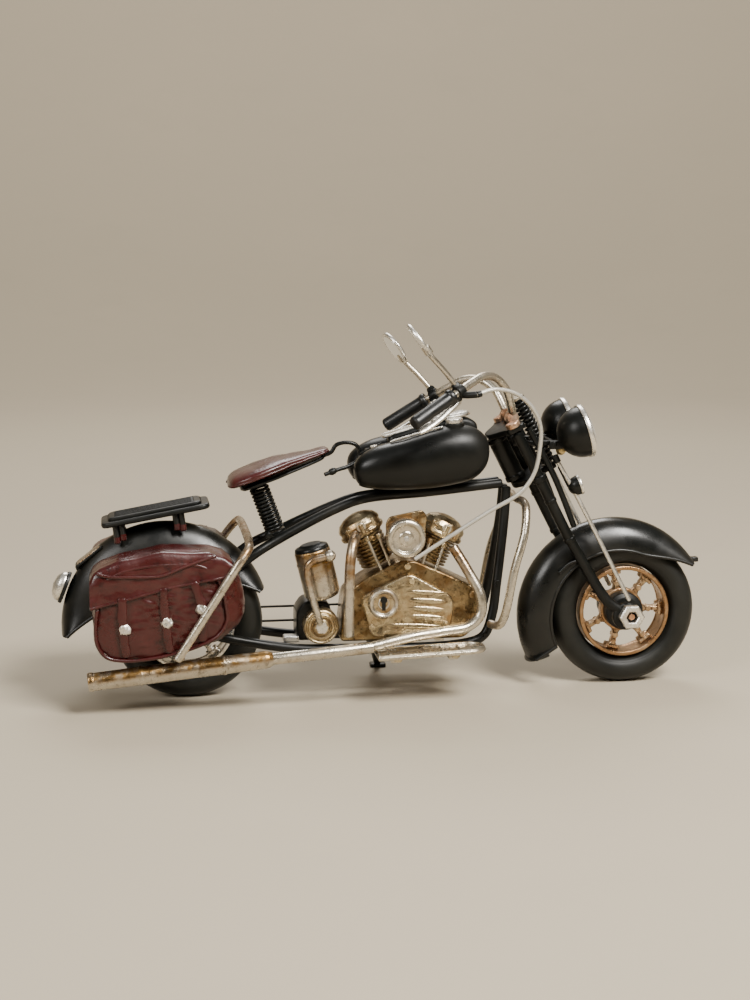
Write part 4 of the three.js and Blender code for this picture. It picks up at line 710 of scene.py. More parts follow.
def reach_of(outline):
    """The outline as its distance from the middle of the bag at every angle."""
    away = smooth(outline, 10, True) - BAG_MID
    angle, far = np.arctan2(away[:, 1], away[:, 0]), np.linalg.norm(away, axis=1)
    order = np.argsort(angle)
    return np.interp(bag_angle, angle[order], far[order], period=2 * np.pi)


bag_far, face_far = reach_of(BAG), reach_of(FACE)


def bag_surface(deep, scale, to_face):
    """Points at a distance across, a scale of the outline and a share of the way from it to the face."""
    far = (bag_far[None] * (1 - to_face[:, None]) + face_far[None] * to_face[:, None]) * scale[:, None]
    return np.stack([BAG_MID[0] + far * np.cos(bag_angle), np.broadcast_to(deep[:, None], far.shape),
                     BAG_MID[1] + far * np.sin(bag_angle)], -1)


t = np.linspace(0, 1, WALL_RINGS)
side_deep = BAG_IN + 1.2 + (BAG_OUT - BAG_IN - 2.0) * t
side_share = np.clip((t - 0.25) / 0.75, 0, 1) ** 2.2
c = np.linspace(0, np.pi / 2, BACK_RINGS)
back_deep, back_scale = BAG_IN + 1.2 * (1 - np.sin(c)), 1 - 0.05 * (1 - np.cos(c))
back = bag_surface(back_deep[::-1][:-1], back_scale[::-1][:-1], np.zeros(BACK_RINGS - 1))
wall = bag_surface(side_deep, np.ones(WALL_RINGS), side_share)
s = np.linspace(1, 0.03, FACE_RINGS)
front_face = bag_surface(BAG_OUT - 0.8 + 1.3 * (1 - s ** 2) ** 0.6, s, np.ones(FACE_RINGS))
bag = np.concatenate([back, wall, front_face])
lift = unit(bag - np.array([BAG_MID[0], 15.0, BAG_MID[1]]))
flat = bag.reshape(-1, 3)
dents = 0.42 * ripple(flat, 9, 21) + 0.26 * ripple(flat * (1, 1, 2.0), 4.6, 22) - 0.25
crease = dents.reshape(bag.shape[:2])
bag = bag + lift * (crease * np.clip((bag[..., 1] - 13) / 4, 0, 1))[..., None]
bag_rub = lambda p: np.clip(0.2 + 0.8 * ripple(p, 14, 8), 0, 1) * 0.7

# %% The flap, the piping, the straps and the studs
u = np.linspace(0, 1, 90)[:, None]
flap_x = -29.4 + 42.2 * u
flap_top = np.interp(flap_x, [-29.4, -28.3, -26.0, -21, -8, 6, 10.5, 12.8],
                     [42.0, 44.2, 46.0, 47.7, 50.2, 49.8, 48.6, 46.6])
flap_low = np.interp(flap_x, [-29.4, -20.7, -7.0, 2.3, 10.2, 12.8], [33.9, 35.8, 39.2, 41.0, 42.2, 43.6])
knots = smooth([(12.2, 0.0), (18.0, -0.012), (23.0, 0.0), (26.1, 0.10), (26.75, 0.36), (26.8, 0.7),
                (27.0, 1.0)], 7)
flap_y, flap_drop = knots[None, :, 0], knots[None, :, 1]
flap_z = flap_top + (flap_low - flap_top) * flap_drop
flap = np.stack(np.broadcast_arrays(flap_x, flap_y, flap_z), -1)
wave = ripple(flap.reshape(-1, 3), 10, 31).reshape(flap.shape[:2])
fine = ripple(flap.reshape(-1, 3) * (1, 1, 1.6), 4.2, 33).reshape(flap.shape[:2])
flap[..., 1] += (0.26 * wave + 0.14 * fine) * np.clip(flap_drop * 3, 0, 1) - 0.35
flap[..., 2] += 0.3 * wave * (1 - np.clip(flap_drop * 3, 0, 1))
curl = np.clip(1 - u / 0.09, 0, 1) * np.clip((flap_drop - 0.6) / 0.4, 0, 1)
flap[..., 1] += 0.35 * curl
normal = unit(np.cross(np.gradient(flap, axis=0), np.gradient(flap, axis=1)))
normal *= np.sign((normal * np.array([0, 1, 1])).sum(-1, keepdims=True).mean())
flap_patch = walled(flap, flap - normal * 0.9)
edge = flap[:, -1] + (0, -0.25, 0.1)
low_bead = tube(edge, BEAD, 10, curve=False)
layer = tube([(-27.2, 26.3, 44.4), (-24.3, 26.6, 43.6), (-16.6, 26.7, 43.2), (-8.6, 26.7, 43.3),
              (-6.8, 26.7, 43.8), (0, 26.5, 46.4), (8.0, 25.6, 48.8)], BEAD, 10)
border = bag_surface(np.array([26.0]), np.ones(1), np.ones(1))[0]
piping = tube(np.vstack([border, border[:1]]), BEAD, 10, curve=False)
STRAPS = [[(-19.9, 26.9, 37.0), (-19.9, 27.0, 27.7), (-18.8, 26.2, 19.0)],
          [(-8.0, 26.9, 39.6), (-7.1, 27.0, 28.3), (-6.0, 26.2, 20.0)],
          [(1.2, 26.9, 41.2), (4.0, 27.0, 32.4), (3.6, 26.2, 23.2)]]
straps = [tube(points, 1.3, 14, 8, 1.0, 0.34, ACROSS) for points in STRAPS]
for strap in straps:
    strap["v"][:, 0] += 0.3 * ripple(strap["v"], 5, 41)
STUDS = [(-19.3, 27.3, 27.4), (-6.9, 27.3, 29.2), (3.5, 27.3, 33.1)]
for side, word in SIDES:
    flip = flipped if side < 0 else (lambda patch: patch)
    piece(f"bag_{word}", "frame", [(flip(skin(bag)), MAROON, bag_rub), (flip(piping), MAROON, bag_rub)],
          [f"saddlebag_{word}"], 50)
    piece(f"bag_flap_{word}", "frame",
          [(flip(flap_patch), MAROON, bag_rub), (flip(low_bead), MAROON, bag_rub),
           (flip(layer), MAROON, bag_rub)], (), 50)
    trim = [(flip(strap), MAROON, bag_rub) for strap in straps]
    for x, y, z in STUDS:
        stud = turned([(-0.5, 0), (-0.5, 1.75), (0.1, 1.85), (0.6, 1.35), (0.8, 0.6), (0.7, 0)],
                      (x, y - 0.3, z), ACROSS, 24, 0.2)
        stud["v"] = stud["v"] + 0.24 * np.stack([ripple(stud["v"], 1.9, k) for k in (4, 5, 6)], -1)
        trim.append((flip(stud), BRIGHT))
    piece(f"bag_straps_{word}", "frame", trim, (), 50)

# %% [markdown]
# The exhausts: a thin pipe drops from each cylinder, and both meet a long muffler low on the right.
# The muffler is open at the rear, its upper half is stained gold brown, and rings mark its seams.

# %% Exhausts
M_REAR, M_FRONT = np.array([-30.5, -22, 10.6]), np.array([25, -22, 16.0])
M_LONG = float(np.linalg.norm(M_FRONT - M_REAR))
can = [(M_LONG - 6, 0), (M_LONG - 6, 2.0), (0.4, 2.0), (0, 2.2), (0, 2.75), (0.5, 2.95), (1.4, 2.95),
       (1.7, 2.75), (15.2, 2.8), (15.4, 3.0), (16.2, 3.0), (16.4, 2.8), (40.2, 2.8), (40.4, 3.0),
       (41.2, 3.0), (41.4, 2.75), (M_LONG - 2.2, 2.7), (M_LONG - 1.2, 2.5), (M_LONG, 1.9), (M_LONG, 0)]
gilt = lambda p: np.clip(0.5 + 0.55 * (p[:, 2] - (10.6 + (p[:, 0] + 30.5) * 5.4 / 55.5)), 0, 1)
header = [(82.4, -8.6, 46.8), (86.6, -11.5, 39.6), (90.4, -14, 31.7), (90.2, -14.6, 26),
          (86.2, -15.6, 22.6), (78, -17, 21.6), (68, -18.6, 20.6), (55, -20.3, 18.2)]
heat = lambda p: np.clip((p[:, 2] - 30) / 14, 0, 1) * 0.8 + 0.3 * ripple(p, 9, 6)
front_pipe = [(turned(can, M_REAR, M_FRONT - M_REAR, 40, 0.12), GILT, gilt),
              (tube([M_FRONT - (2.8, 0, 0.27), (40, -22, 17.2), (56.2, -20.2, 18.2)], 1.8, 20), SILVER,
               edge_rub), (tube(header, 1.6, 20), SILVER, heat)]
piece("pipes_and_muffler", "frame", front_pipe, ["exhaust_front"])
header = [(52.4, -8.8, 51.2), (50.6, -13.6, 49.2), (49.4, -16, 43.8), (48.9, -16, 30), (48.9, -16.2, 20.6)]
piece("pipe_rear", "frame", [(tube(header, 1.6, 20), SILVER, heat)], ["exhaust_rear"])

# %% [markdown]
# The engine is the busiest part: a cast case with a timing cover over it, a boss with the slot that
# the winding key fits, two finned cylinders in a V with domed rocker covers, and a round air cleaner
# between them. Castings are plates with eased edges, and the cylinders are turned profiles.

# %% Case and covers
CASE = [(46.9, 17.6), (86, 17.6), (91, 22), (91, 33), (82, 37.4), (70.4, 42.6), (65.6, 42.6), (54.8, 37.2),
        (48.6, 32.6)]
COVER = [(52.8, 32), (56.6, 19.3), (81.6, 20.6), (82.4, 31.2), (68.4, 39.4)]


def soft_outline(points, corner, pitch=0.6):
    """A closed outline with rounded corners and evenly spaced points."""
    return refine(eased(points, corner, 6, True), pitch)


grime = lambda p: np.clip(0.45 + 0.8 * ripple(p, 7, 12), 0, 1)
# The case takes the stained pewter, darkened as painted shade, so the lighter timing cover stands out against
# it.
case_parts = [(slab(soft_outline(CASE, 1.6), -9.5, 4.6, upright, 0.7), STAINED_AND_SHADED, grime)]
for x, z in ((49.6, 20.2), (87.6, 22.6), (88.6, 31.4), (50.6, 31.6), (68, 41)):
    case_parts.append((disc((x, -9.5, z), (0, -1, 0), -0.2, 0.8, 1.15, 6, 0.15), CAST, grime))
piece("crankcase_shell", "frame", case_parts, ["crankcase"])

FACE_Y = -12.35
cover = [(slab(soft_outline(COVER, 2.4), FACE_Y, -9.85, upright, 0.8), CAST, grime)]
for low_x, high_x, z, fat in ((67.0, 80.2, 33.0, 0.8), (67.4, 80.4, 30.4, 0.95), (67.6, 80.4, 27.8, 0.95),
                              (67.2, 80.0, 25.2, 0.95), (60, 79.6, 22.6, 0.8)):
    ridge = tube([(low_x, FACE_Y + 0.35, z + 0.5), (high_x, FACE_Y + 0.35, z - 0.7)], [0.5, fat, fat, 0.5],
                 16, 8, 1.25, 0.75, ACROSS)
    cover.append((ridge, CAST, lambda p: np.clip(0.9 - 2.2 * (FACE_Y + 0.1 - p[:, 1]), 0, 1)))
boss = [(0.5, 0), (0.5, 4.8), (-2.2, 4.8), (-2.9, 4.3), (-3.0, 3.9), (-2.7, 3.4), (-2.2, 3.2), (-2.2, 1.9),
        (-2.5, 1.7), (-2.5, 1.3), (-1.6, 1.2), (-1.6, 0)]
cover.append((turned(boss, (59.9, FACE_Y, 30.4), ACROSS, 48, 0.2), SILVER, edge_rub))
cover.append((turned([(-1.7, 0), (-1.7, 2.9), (-2.25, 3.1), (-2.3, 0)], (59.9, FACE_Y, 30.4), ACROSS, 32,
                     0.1), CAST, grime))
cover.append((brick(59.3, 60.5, FACE_Y - 2.72, FACE_Y - 2.1, 28.3, 32.5, 0.2), SATIN))
cover.append((disc((59.9, FACE_Y - 2.4, 31.6), (0, -1, 0), 0, 0.34, 1.1, 20, 0.1), SATIN))
for x, z in ((56.4, 22.6), (79.6, 23.0), (69.0, 36.8)):
    cover.append((disc((x, FACE_Y, z), (0, -1, 0), -0.2, 0.55, 0.95, 20, 0.15), CAST, grime))
piece("timing_cover_face", "frame", cover, ["timing_cover"])

primary = [(slab(soft_outline([(x * 0.98 + 1.4, z * 0.96 + 1.1) for x, z in CASE], 1.6), 4.95, 5.85,
                 upright, 0.3), CAST, grime)]
dome = [(60, 20.5), (87, 20.5), (88.4, 31), (80, 36.5), (60, 34)]
primary.append((slab(soft_outline(dome, 4.0), 5.4, 10.8, upright, 1.4), CAST, grime))
for x, z in ((63.5, 24.0), (84.2, 24.0), (84.6, 30.4), (64, 31)):
    primary.append((disc((x, 10.8, z), ACROSS, -0.3, 0.5, 0.95, 6, 0.1), CAST, grime))
for r in (2.6, 4.2):
    ring = [(10.55, r - 0.4), (11.05, r), (10.55, r + 0.4)]
    primary.append((hoop(eased(ring, 0.15, 2, True), (74, 0, 27.6), ACROSS, 48), CAST, grime))
piece("primary_cover_face", "frame", primary, ["primary_cover"])

# %% Cylinders, rocker covers and pushrods
for name, base, top in (("rear", (60.4, 0, 40.6), (54.2, 0, 52.6)),
                        ("front", (75.7, 0, 40.6), (80.9, 0, 51.4))):
    base, top = np.array(base), np.array(top)
    way = unit(top - base)
    length = float(np.linalg.norm(top - base)) - 3.2
    fins = 8
    pitch = (length - 0.4) / fins
    start = 0.35 + pitch * np.arange(fins)[:, None]
    rows = np.array([(0.0, 4.3), (0.42, 4.3), (0.52, 5.55), (0.66, 5.7), (0.86, 5.7), (0.98, 5.55)])
    radii = np.broadcast_to(rows[None, :, 1], (fins, 6))
    barrel = np.stack([start + rows[None, :, 0] * pitch, radii], -1)
    profile = np.vstack([[(0.35, 0)], barrel.reshape(-1, 2), [(length, 4.3), (length, 0)]])
    block = turned(profile, base, way, 48)
    block["v"] = block["v"] * (1, 0.98, 1)
    # The fins take the stained pewter: a brown-gold tone, darkened as painted shade.
    piece(f"cylinder_{name}_fins", "frame", [(block, STAINED_AND_SHADED, grime)], [f"cylinder_{name}"])
    head = base + way * (length + 0.35)
    dome = turned([(0, 0), (0, 6.9), (0.5, 7.2), (1.3, 7.2), (1.6, 6.7), (2.6, 6.7), (2.9, 7.0), (3.6, 6.9),
                   (5.1, 5.9), (6.3, 3.8), (6.9, 1.6), (7.0, 0)], head, way, 48, 0.25, (1, 0.85, 1))
    parts = [(dome, CAST, grime)]
    for side, word in SIDES:
        for ahead in (-4.2, 0, 4.2):
            across = unit(np.cross(ACROSS, way))
            spot = head + across * ahead + np.array([0, side * (5.7 - 0.09 * ahead * ahead), 0]) + way * 1.0
            parts.append((disc(spot, way, 0, 3.2, 0.85, 12, 0.2), CAST, grime))
        ear = head + way * 3.2 + np.array([0, side * 5.0, 0])
        parts.append((disc(ear, (0, side, 0), -0.6, 1.1, 1.5, 20, 0.25), SILVER, edge_rub))
    piece(f"rocker_{name}", "frame", parts, [f"rocker_cover_{name}"])

rods = []
for foot, head in (((63.7, -8.2, 39.0), (59.2, -6.9, 50.6)), ((61.0, -8.4, 37.6), (55.6, -7.1, 49.8)),
                   ((72.1, -8.2, 38.6), (75.6, -6.9, 48.6)), ((76.2, -8.4, 37.4), (80.0, -7.1, 47.2))):
    foot, head = np.array(foot), np.array(head)
    rods.append((tube([foot, head], 0.5, 14), SILVER, edge_rub))
    rods.append((disc(foot, head - foot, -0.6, 1.3, 0.95, 16, 0.2), CAST, grime))
    rods.append((disc(head, foot - head, -0.4, 1.1, 0.9, 16, 0.2), CAST, grime))
piece("pushrod_tubes", "frame", rods, ())

# %% [markdown]
# The air cleaner is a shallow drum with a rolled rim and a dished middle, on a short intake. A flat
# brown plate stands behind it, and the carburettor body is hidden between the cylinders.

# %% Air cleaner and plate
drum = [(5.6, 0), (5.6, 5.3), (4.8, 5.9), (4.4, 6.1), (1.0, 6.1), (0.3, 5.8), (0.0, 5.3), (0.0, 4.7),
        (0.35, 4.3), (0.9, 4.1), (1.0, 2.3), (0.7, 2.0), (0.55, 0)]
clean = [(turned(drum, (67.2, -13.6, 50.2), ACROSS, 56, 0.2), SILVER,
          lambda p: np.clip((p[:, 1] + 12.9) / 1.2, 0, 1)),
         (disc((67.2, 0, 50.2), ACROSS, -8.2, -1, 1.9), CAST, grime),
         (brick(65.3, 69.4, -5.2, 2.4, 45.4, 52.4, 0.6), CAST),
         (disc((67.2, -12.9, 50.2), (0, -1, 0), 0, 0.6, 0.9, 6, 0.15), STEEL)]
back_plate = slab(soft_outline([(61.6, 54.0), (62.6, 56.2), (73.0, 58.2), (74.4, 56.6), (73.6, 46.0),
                                (62.0, 45.4)], 0.8), -7.6, -6.4, upright, 0.25)
clean.append((back_plate, CAST, lambda p: np.ones(len(p))))
piece("air_cleaner_drum", "frame", clean, ["air_cleaner"])

# %% [markdown]
# Behind the engine stand a leaning round oil tank with a black cap, and below it the black gearbox
# with a drum of concentric rings, a rough nut, and the kick starter's bent arm and ball.

# %% Oil tank and gearbox
OIL_TOP, OIL_FOOT = np.array([38.4, -7.7, 46.8]), np.array([42.0, -7.7, 31.4])
down = OIL_FOOT - OIL_TOP
oil_long = float(np.linalg.norm(down))
brown_side = lambda p: np.clip(0.35 + 0.12 * (p[:, 2] - 38) + 0.5 * ripple(p, 9, 9), 0, 1)
oil = [(turned([(0, 0), (0, 5.3), (0.5, 5.6), (3.4, 5.6), (3.7, 5.75), (4.3, 5.75), (4.6, 5.6),
                (oil_long - 1.8, 5.6), (oil_long - 0.5, 4.9), (oil_long, 3.8), (oil_long, 0)], OIL_TOP,
               down, 48, 0.2), GILT, brown_side),
       (turned([(-1.8, 0), (-1.8, 3.1), (-1.3, 3.8), (-0.9, 5.1), (-0.2, 5.35), (0.4, 5.35), (0.4, 0)],
               OIL_TOP, down, 48, 0.25), SATIN)]
piece("oil_tank_can", "frame", oil, ["oil_tank"])

box = soft_outline([(33.6, 18), (45, 18), (45, 25), (43.6, 30), (36, 30.4), (33.6, 27)], 1.4)
gear_parts = [(slab(box, -8, 4, upright, 0.8), SATIN, edge_rub)]
rings = [(-7.6, 0), (-7.6, 5.6), (-11.4, 5.6), (-12.2, 5.3), (-12.5, 4.9), (-12.1, 4.5), (-12.1, 4.2),
         (-12.8, 4.0), (-12.9, 3.4), (-12.3, 3.1), (-12.3, 2.8), (-13.0, 2.6), (-13.4, 2.2), (-13.4, 0)]
gear_parts.append((turned(rings, (40.8, 0, 23.2), ACROSS, 48, 0.15), CAST, grime))
nut = disc((40.8, -13.2, 23.2), (0, -1, 0), 0, 0.95, 2.0, 6, 0.3)
nut["v"] = nut["v"] + 0.16 * ripple(nut["v"], 2.2, 14)[:, None]
gear_parts.append((nut, BRIGHT, edge_rub))
arm = [(40.4, -13.4, 24.4), (39.4, -15.2, 27.5), (37.6, -15.4, 34), (36.2, -15.4, 42.6), (38, -15.4, 44.6),
       (42.0, -15.4, 45.7)]
gear_parts.append((tube(arm, 1.1, 16), SILVER, heat))
ball_c = np.linspace(0, np.pi, 13)
gear_parts.append((turned(np.stack([-1.8 * np.cos(ball_c), 1.8 * np.sin(ball_c)], -1), (43.2, -15.4, 46),
                          (1, 0, 0.3), 24), SILVER, edge_rub))
gear_parts.append((brick(29.4, 34.2, -9.4, -5.2, 17.8, 19.8, 0.4), STEEL, edge_rub))
piece("gearbox_and_kick", "frame", gear_parts, ["gearbox"])

# %% [markdown]
# The fuel tank is two pear-shaped lobes of satin black tin with a dash between them. Each lobe is a
# squarish oval that swells and shrinks along the tank; its table of stations is smoothed as one curve.


# %% Tank and dash
def swell(stations, y, squareness, rings=54, sides=64):
    """Squarish ovals |cos|^(2/n), |sin|^(2/n) along x, sized by the smoothed stations."""
    line = smooth(stations, 9)
    far = np.concatenate([[0], np.cumsum(np.linalg.norm(np.diff(line, axis=0), axis=1))])
    want = np.linspace(0, far[-1], rings)
    x, low, high, half_ = (np.interp(want, far, line[:, k])[:, None] for k in range(4))
    a = np.linspace(0, 2 * np.pi, sides, endpoint=False)[None]
    wide = np.sign(np.cos(a)) * abs(np.cos(a)) ** (2 / squareness)
    tall = np.sign(np.sin(a)) * abs(np.sin(a)) ** (2 / squareness)
    across, up = y + half_ * wide, (low + high) / 2 + (high - low) / 2 * tall
    return np.stack(np.broadcast_arrays(x, across, up), -1)


TANK = [(51.5, 70.2, 71.8, 0.5), (51.9, 68.6, 73.4, 2.4), (53.6, 66.4, 75.6, 4.2), (58.6, 65.2, 78.4, 6.0),
        (67, 64.9, 80.6, 7.0), (75, 65.2, 83.0, 7.3), (82.6, 66.2, 84.7, 7.1), (88.6, 67.8, 84.0, 6.2),
        (92.3, 71.0, 81.4, 4.0), (93.5, 73.8, 79.0, 2.2), (93.8, 75.6, 77.2, 0.6)]
tank_rub = lambda p: np.clip((p[:, 2] - 76) / 14, 0, 1) * np.clip((p[:, 0] - 60) / 40, 0, 1) * 0.5
for side, word in SIDES:
    lobe = [(skin(swell(TANK, side * 7.9, 2.25)), SATIN, tank_rub)]
    seat = (83, side * 7.9, 84.0)
    cap_way = (-0.1, 0, 1)
    lobe.append((disc(seat, cap_way, -1, 1.3, 3.0, 40, 0.3), SATIN))
    lobe.append((disc(seat, cap_way, 1.2, 2.7, 2.65, 8, 0.35), BRIGHT))
    strip = [(62.6, side * 9.2, 79.9), (70.6, side * 9.4, 82.2), (79.0, side * 9.6, 84.3)]
    lobe.append((tube(strip, 0.34, 8), BRIGHT))
    bead = swell(TANK, side * 7.9, 2.25)[6:-6, 50]
    lobe.append((tube(bead + (0, 0, -0.1), 0.32, 8, curve=False), SATIN))
    piece(f"tank_lobe_{word}", "frame", lobe, [f"tank_{word}"], 60)

console = [(63, 74), (88, 74), (91.3, 79), (91.3, 84.6), (88, 86.4), (80, 85.8), (63, 81.0)]
dash = [(slab(soft_outline(console, 2.0), -3.2, 3.2, upright, 1.4), SATIN)]
panel = turned([(0, 0), (0, 4.4), (0.8, 4.5), (1.4, 3.8), (1.7, 0)], (0, 0, 0), (0, 0, 1), 40, 0.3,
               (1.6, 0.95, 1))
dash.append((moved(panel, leaning(math.radians(9)), (82.4, 0, 86.0)), BRIGHT, edge_rub))
dash.append((disc((85.2, 0, 87.2), (-0.16, 0, 1), 0, 0.8, 2.4, 32, 0.2), STEEL))
dash.append((disc((79.6, 0, 86.6), (-0.16, 0, 1), 0, 0.9, 1.3, 24, 0.2), BRIGHT))
spine = slab(oblong(8.4, 2.2, 2.0), -0.4, 0.5, level, 0.3)
dash.append((moved(spine, leaning(math.radians(16)), (69.4, 0, 82.6)), BRIGHT, edge_rub))
dash.append((disc((58.6, -2.6, 77.0), (-0.2, 0, 1), -1.2, 1.1, 1.2, 8, 0.2), BRIGHT, edge_rub))
dash.append((tube([(61.2, -2.6, 78.2), (57.6, -2.6, 76.6), (54.6, -2.6, 75.0)], 0.9, 12), SATIN))
dash.append((brick(56.2, 64.4, -3.4, 3.4, 75.0, 76.6, 0.5), SATIN))
piece("dash", "frame", dash, ["tank_console"])

# %% [markdown]
# The saddle is tin painted as leather: a broad heart-shaped seat with a raised tail and a long nose,
# on a thin black pan. A wire loop joins the nose to the frame, and a coil spring carries the rear.

# %% Saddle
SADDLE = [(13.2, 66.0, 67.2, 4.0), (13.8, 65.6, 68.6, 7.6), (15.2, 65.8, 69.8, 9.6), (20, 67.3, 71.8, 11.4),
          (26, 69.3, 74.0, 10.4), (33, 71.8, 75.6, 7.2), (39, 73.9, 76.8, 4.8), (43.0, 75.5, 77.8, 3.7),
          (44.3, 76.2, 77.6, 2.4), (44.6, 76.6, 77.2, 1.2)]
pad = swell(SADDLE, 0, 2.5, 64, 72)
middle = np.exp(-(pad[..., 1] / 3.2) ** 2) * np.clip((pad[..., 0] - 16) / 8, 0, 1)
above = pad[..., 2] > pad[..., 2].mean(1, keepdims=True)
pad[..., 2] -= 0.45 * middle * above
pad_flat = pad.reshape(-1, 3)
pad[..., 2] += (0.12 * ripple(pad_flat, 7, 17)).reshape(pad.shape[:2])
seat_parts = [(skin(pad), MAROON, bag_rub)]
for k in (69, 39):
    seat_parts.append((tube(pad[1:-2, k] + (0, 0, 0.05), 0.38, 8, curve=False), MAROON, bag_rub))
piece("saddle_seat", "saddle", seat_parts, ["saddle_pad"], 60)

PAN = [(17.0, 65.0, 65.8, 5.0), (18.4, 65.3, 66.4, 8.6), (22, 66.7, 67.9, 9.2), (27, 68.2, 69.3, 8.2),
       (33, 70.2, 71.3, 5.7), (39, 72.3, 73.4, 3.8), (42.6, 73.8, 74.9, 2.8), (43.4, 74.4, 75.0, 1.4)]
wire = [(42.4, 0, 74.6), (45.4, 0, 75.8), (47, 0, 78), (50, 0, 78.8), (53.2, 0, 78), (54.4, 0, 75.8),
        (53.9, -0.4, 73.4), (51, -1.2, 71.6), (47.4, -2, 70.6), (43, -2.8, 69.2)]
pan = [(skin(swell(PAN, 0, 5.0, 40, 48)), SATIN, edge_rub), (tube(wire, 0.65, 12), SATIN, edge_rub)]
knot = turned([(-1.4, 0), (-1.2, 0.7), (-0.5, 1.1), (0.5, 1.1), (1.2, 0.8), (1.5, 0)], (45.6, -2.3, 70.1),
              (1, 0.2, 0.4), 16, 0.1)
pan.append((knot, SATIN))
pan.append((disc(SPRING_HEAD, unit(SPRING_HEAD - SPRING_FOOT), 0.4, 1.6, 3.2), SATIN))
piece("saddle_base", "saddle", pan, ["saddle_pan"])

seat_coil = piece("seat_coil", "frame", [(coil(SPRING_FOOT, SPRING_HEAD, 3.2, 0.5, 12), SATIN, edge_rub)],
                  ["seat_spring"])
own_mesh(seat_coil)

knob = [(tube([(27.0, -6.6, 49.9), (25.2, -8.0, 51.3)], 0.6, 12), SATIN),
        (turned([(-1.2, 0), (-1.0, 0.9), (0, 1.25), (1.0, 0.9), (1.2, 0)], (25.0, -8.1, 51.5), (0.2, -1, 0),
                20, 0.1), SATIN)]
piece("rail_knob", "frame", knob, ())

# %% [markdown]
# The footboards are shallow silver trays with a raised rim and rounded fronts, on arms from the lower
# rails with two bolt heads under each. The kickstand is a bent black rod with a flat foot.

# %% Footboards and kickstand
board_tilt = math.radians(2.5)
TRAY = leaning(board_tilt)
arc = np.linspace(-np.pi / 2, np.pi / 2, 25)
nose_arc = np.stack([85.6 + 5.4 * np.cos(arc), 19.6 + 5.4 * np.sin(arc)], -1)
outline = refine(np.vstack([[(57, 14.2)], nose_arc, [(57, 25)]]), 0.7)
for side, word in SIDES:
    across = outline * (1, side)
    tray = [(moved(slab(across, 0.0, 1.2, level, 0.35), TRAY, (0, 0, 12.2)), SILVER, edge_rub)]
    centre = np.array([73.0, side * 19.6])
    rim_path = (across - centre) * (0.968, 0.915) + centre
    ring = np.column_stack([rim_path, np.full(len(rim_path), 1.25)])
    ring = np.vstack([ring, ring[:1]])
    tray.append((moved(tube(ring, 0.42, 8, curve=False, flat_to=(0, 0, 1)), TRAY, (0, 0, 12.2)), SILVER,
                 edge_rub))
    for k in range(5):
        rib = tube([(61 + 5.4 * k, side * 15.8, 1.25), (61 + 5.4 * k, side * 23.4, 1.25)], 0.32, 8)
        tray.append((moved(rib, TRAY, (0, 0, 12.2)), SILVER, edge_rub))
    for x in (62, 80):
        y0, y1 = sorted((side * 8.4, side * 17))
        tray.append((brick(x, x + 3, y0, y1, 12.6 if x > 70 else 12.0, 13.9, 0.3), SILVER, edge_rub))
        y0, y1 = sorted((side * 14.4, side * 16.8))
        tray.append((brick(x, x + 3, y0, y1, 12.6, 12.8 + x * math.tan(board_tilt), 0.3), SILVER, edge_rub))
        tray.append((disc((x + 1.5, side * 20.4, 12.0 + x * math.tan(board_tilt)), (0, 0, -1), -0.4, 1.2,
                          1.3, 20, 0.2), CAST))
    piece(f"footboard_tray_{word}", "frame", tray, [f"footboard_{word}"])

leg = [(60, 13.6, 12.4), (60.6, 16.4, 10.4), (63.0, 25.0, 3.2), (64, 27.6, 1.0)]
stand_parts = [(tube(leg, [1.25, 1.0, 1.0, 1.1], 16), SATIN, edge_rub),
               (disc((60, 13.6, 12.4), ACROSS, -1.4, 1.4, 1.7), SATIN),
               (slab(oblong(2.6, 2.2, 0.9) + (64, 28), 0, 1.2, level, 0.3), SATIN)]
piece("stand_leg", "stand", stand_parts, ["kickstand"])

# %% [markdown]
# The steering. Two yokes hold the fork legs; the upper one is copper coloured, with a clamp for each
# end of the bars. Springs stand in front, thin silver rods run down to the axle, and each leg ends in
# a broad plate round the axle behind a hexagon nut.

# %% Yokes, legs, rods and spring
YOKE = [(8.6, 11.1), (2.8, 11.1), (2.0, 8.4), (-2.6, 3)]
LOWER = [(6.9, 9.4), (3, 9.4), (-2.2, 2)]


def yoke(half_outline, low, high, corner):
    """The half outline and its mirror image as one leaning plate."""
    left = list(half_outline)
    both = left + [(x, -y) for x, y in left[::-1]]
    return moved(slab(soft_outline(both, corner), low, high, level, 0.35), LEAN, HEAD)


bright_top = lambda p: np.clip(0.3 + 0.8 * ripple(p, 5, 19), 0, 1)
crown = [(yoke(YOKE, 6.6, 8.4, 1.5), SATIN, edge_rub)]
for side, word in SIDES:
    crown.append((tube([head_point(6.6, side * 2.2, 10.0), head_point(6.6, side * 5.4, 10.0)], 2.1, 24),
                  COPPER, bright_top))
    crown.append((disc(head_point(5.2, side * 9.4, 8.2), HEAD_AXIS, -0.2, 1.6, 2.3, 24, 0.5), COPPER,
                  bright_top))
    crown.append((brick(101.9, 114.8, side * 6.2 - 0.8, side * 6.2 + 0.8, 77.6, 79.2, 0.3), SATIN))
    crown.append((brick(101.9, 103.8, side * 6.2 - 0.8, side * 6.2 + 0.8, 78.0, 84.2, 0.3), SATIN))
crown.append((brick(113.6, 114.8, -11, 11, 77.6, 79.2, 0.3), SATIN))
piece("yoke_upper", "steering", crown, ["top_yoke"])
stem = [(moved(disc((0, 0, 0), (0, 0, 1), -10.0, 6.4, 1.7, 24), LEAN, HEAD), SATIN),
        (yoke(LOWER, -11, -9, 1.2), SATIN, edge_rub),
        (moved(brick(5.2, 12.8, -3, 3, -11, -9, 0.4), LEAN, HEAD), SATIN)]
piece("yoke_lower", "steering", stem, ["steering_stem"])

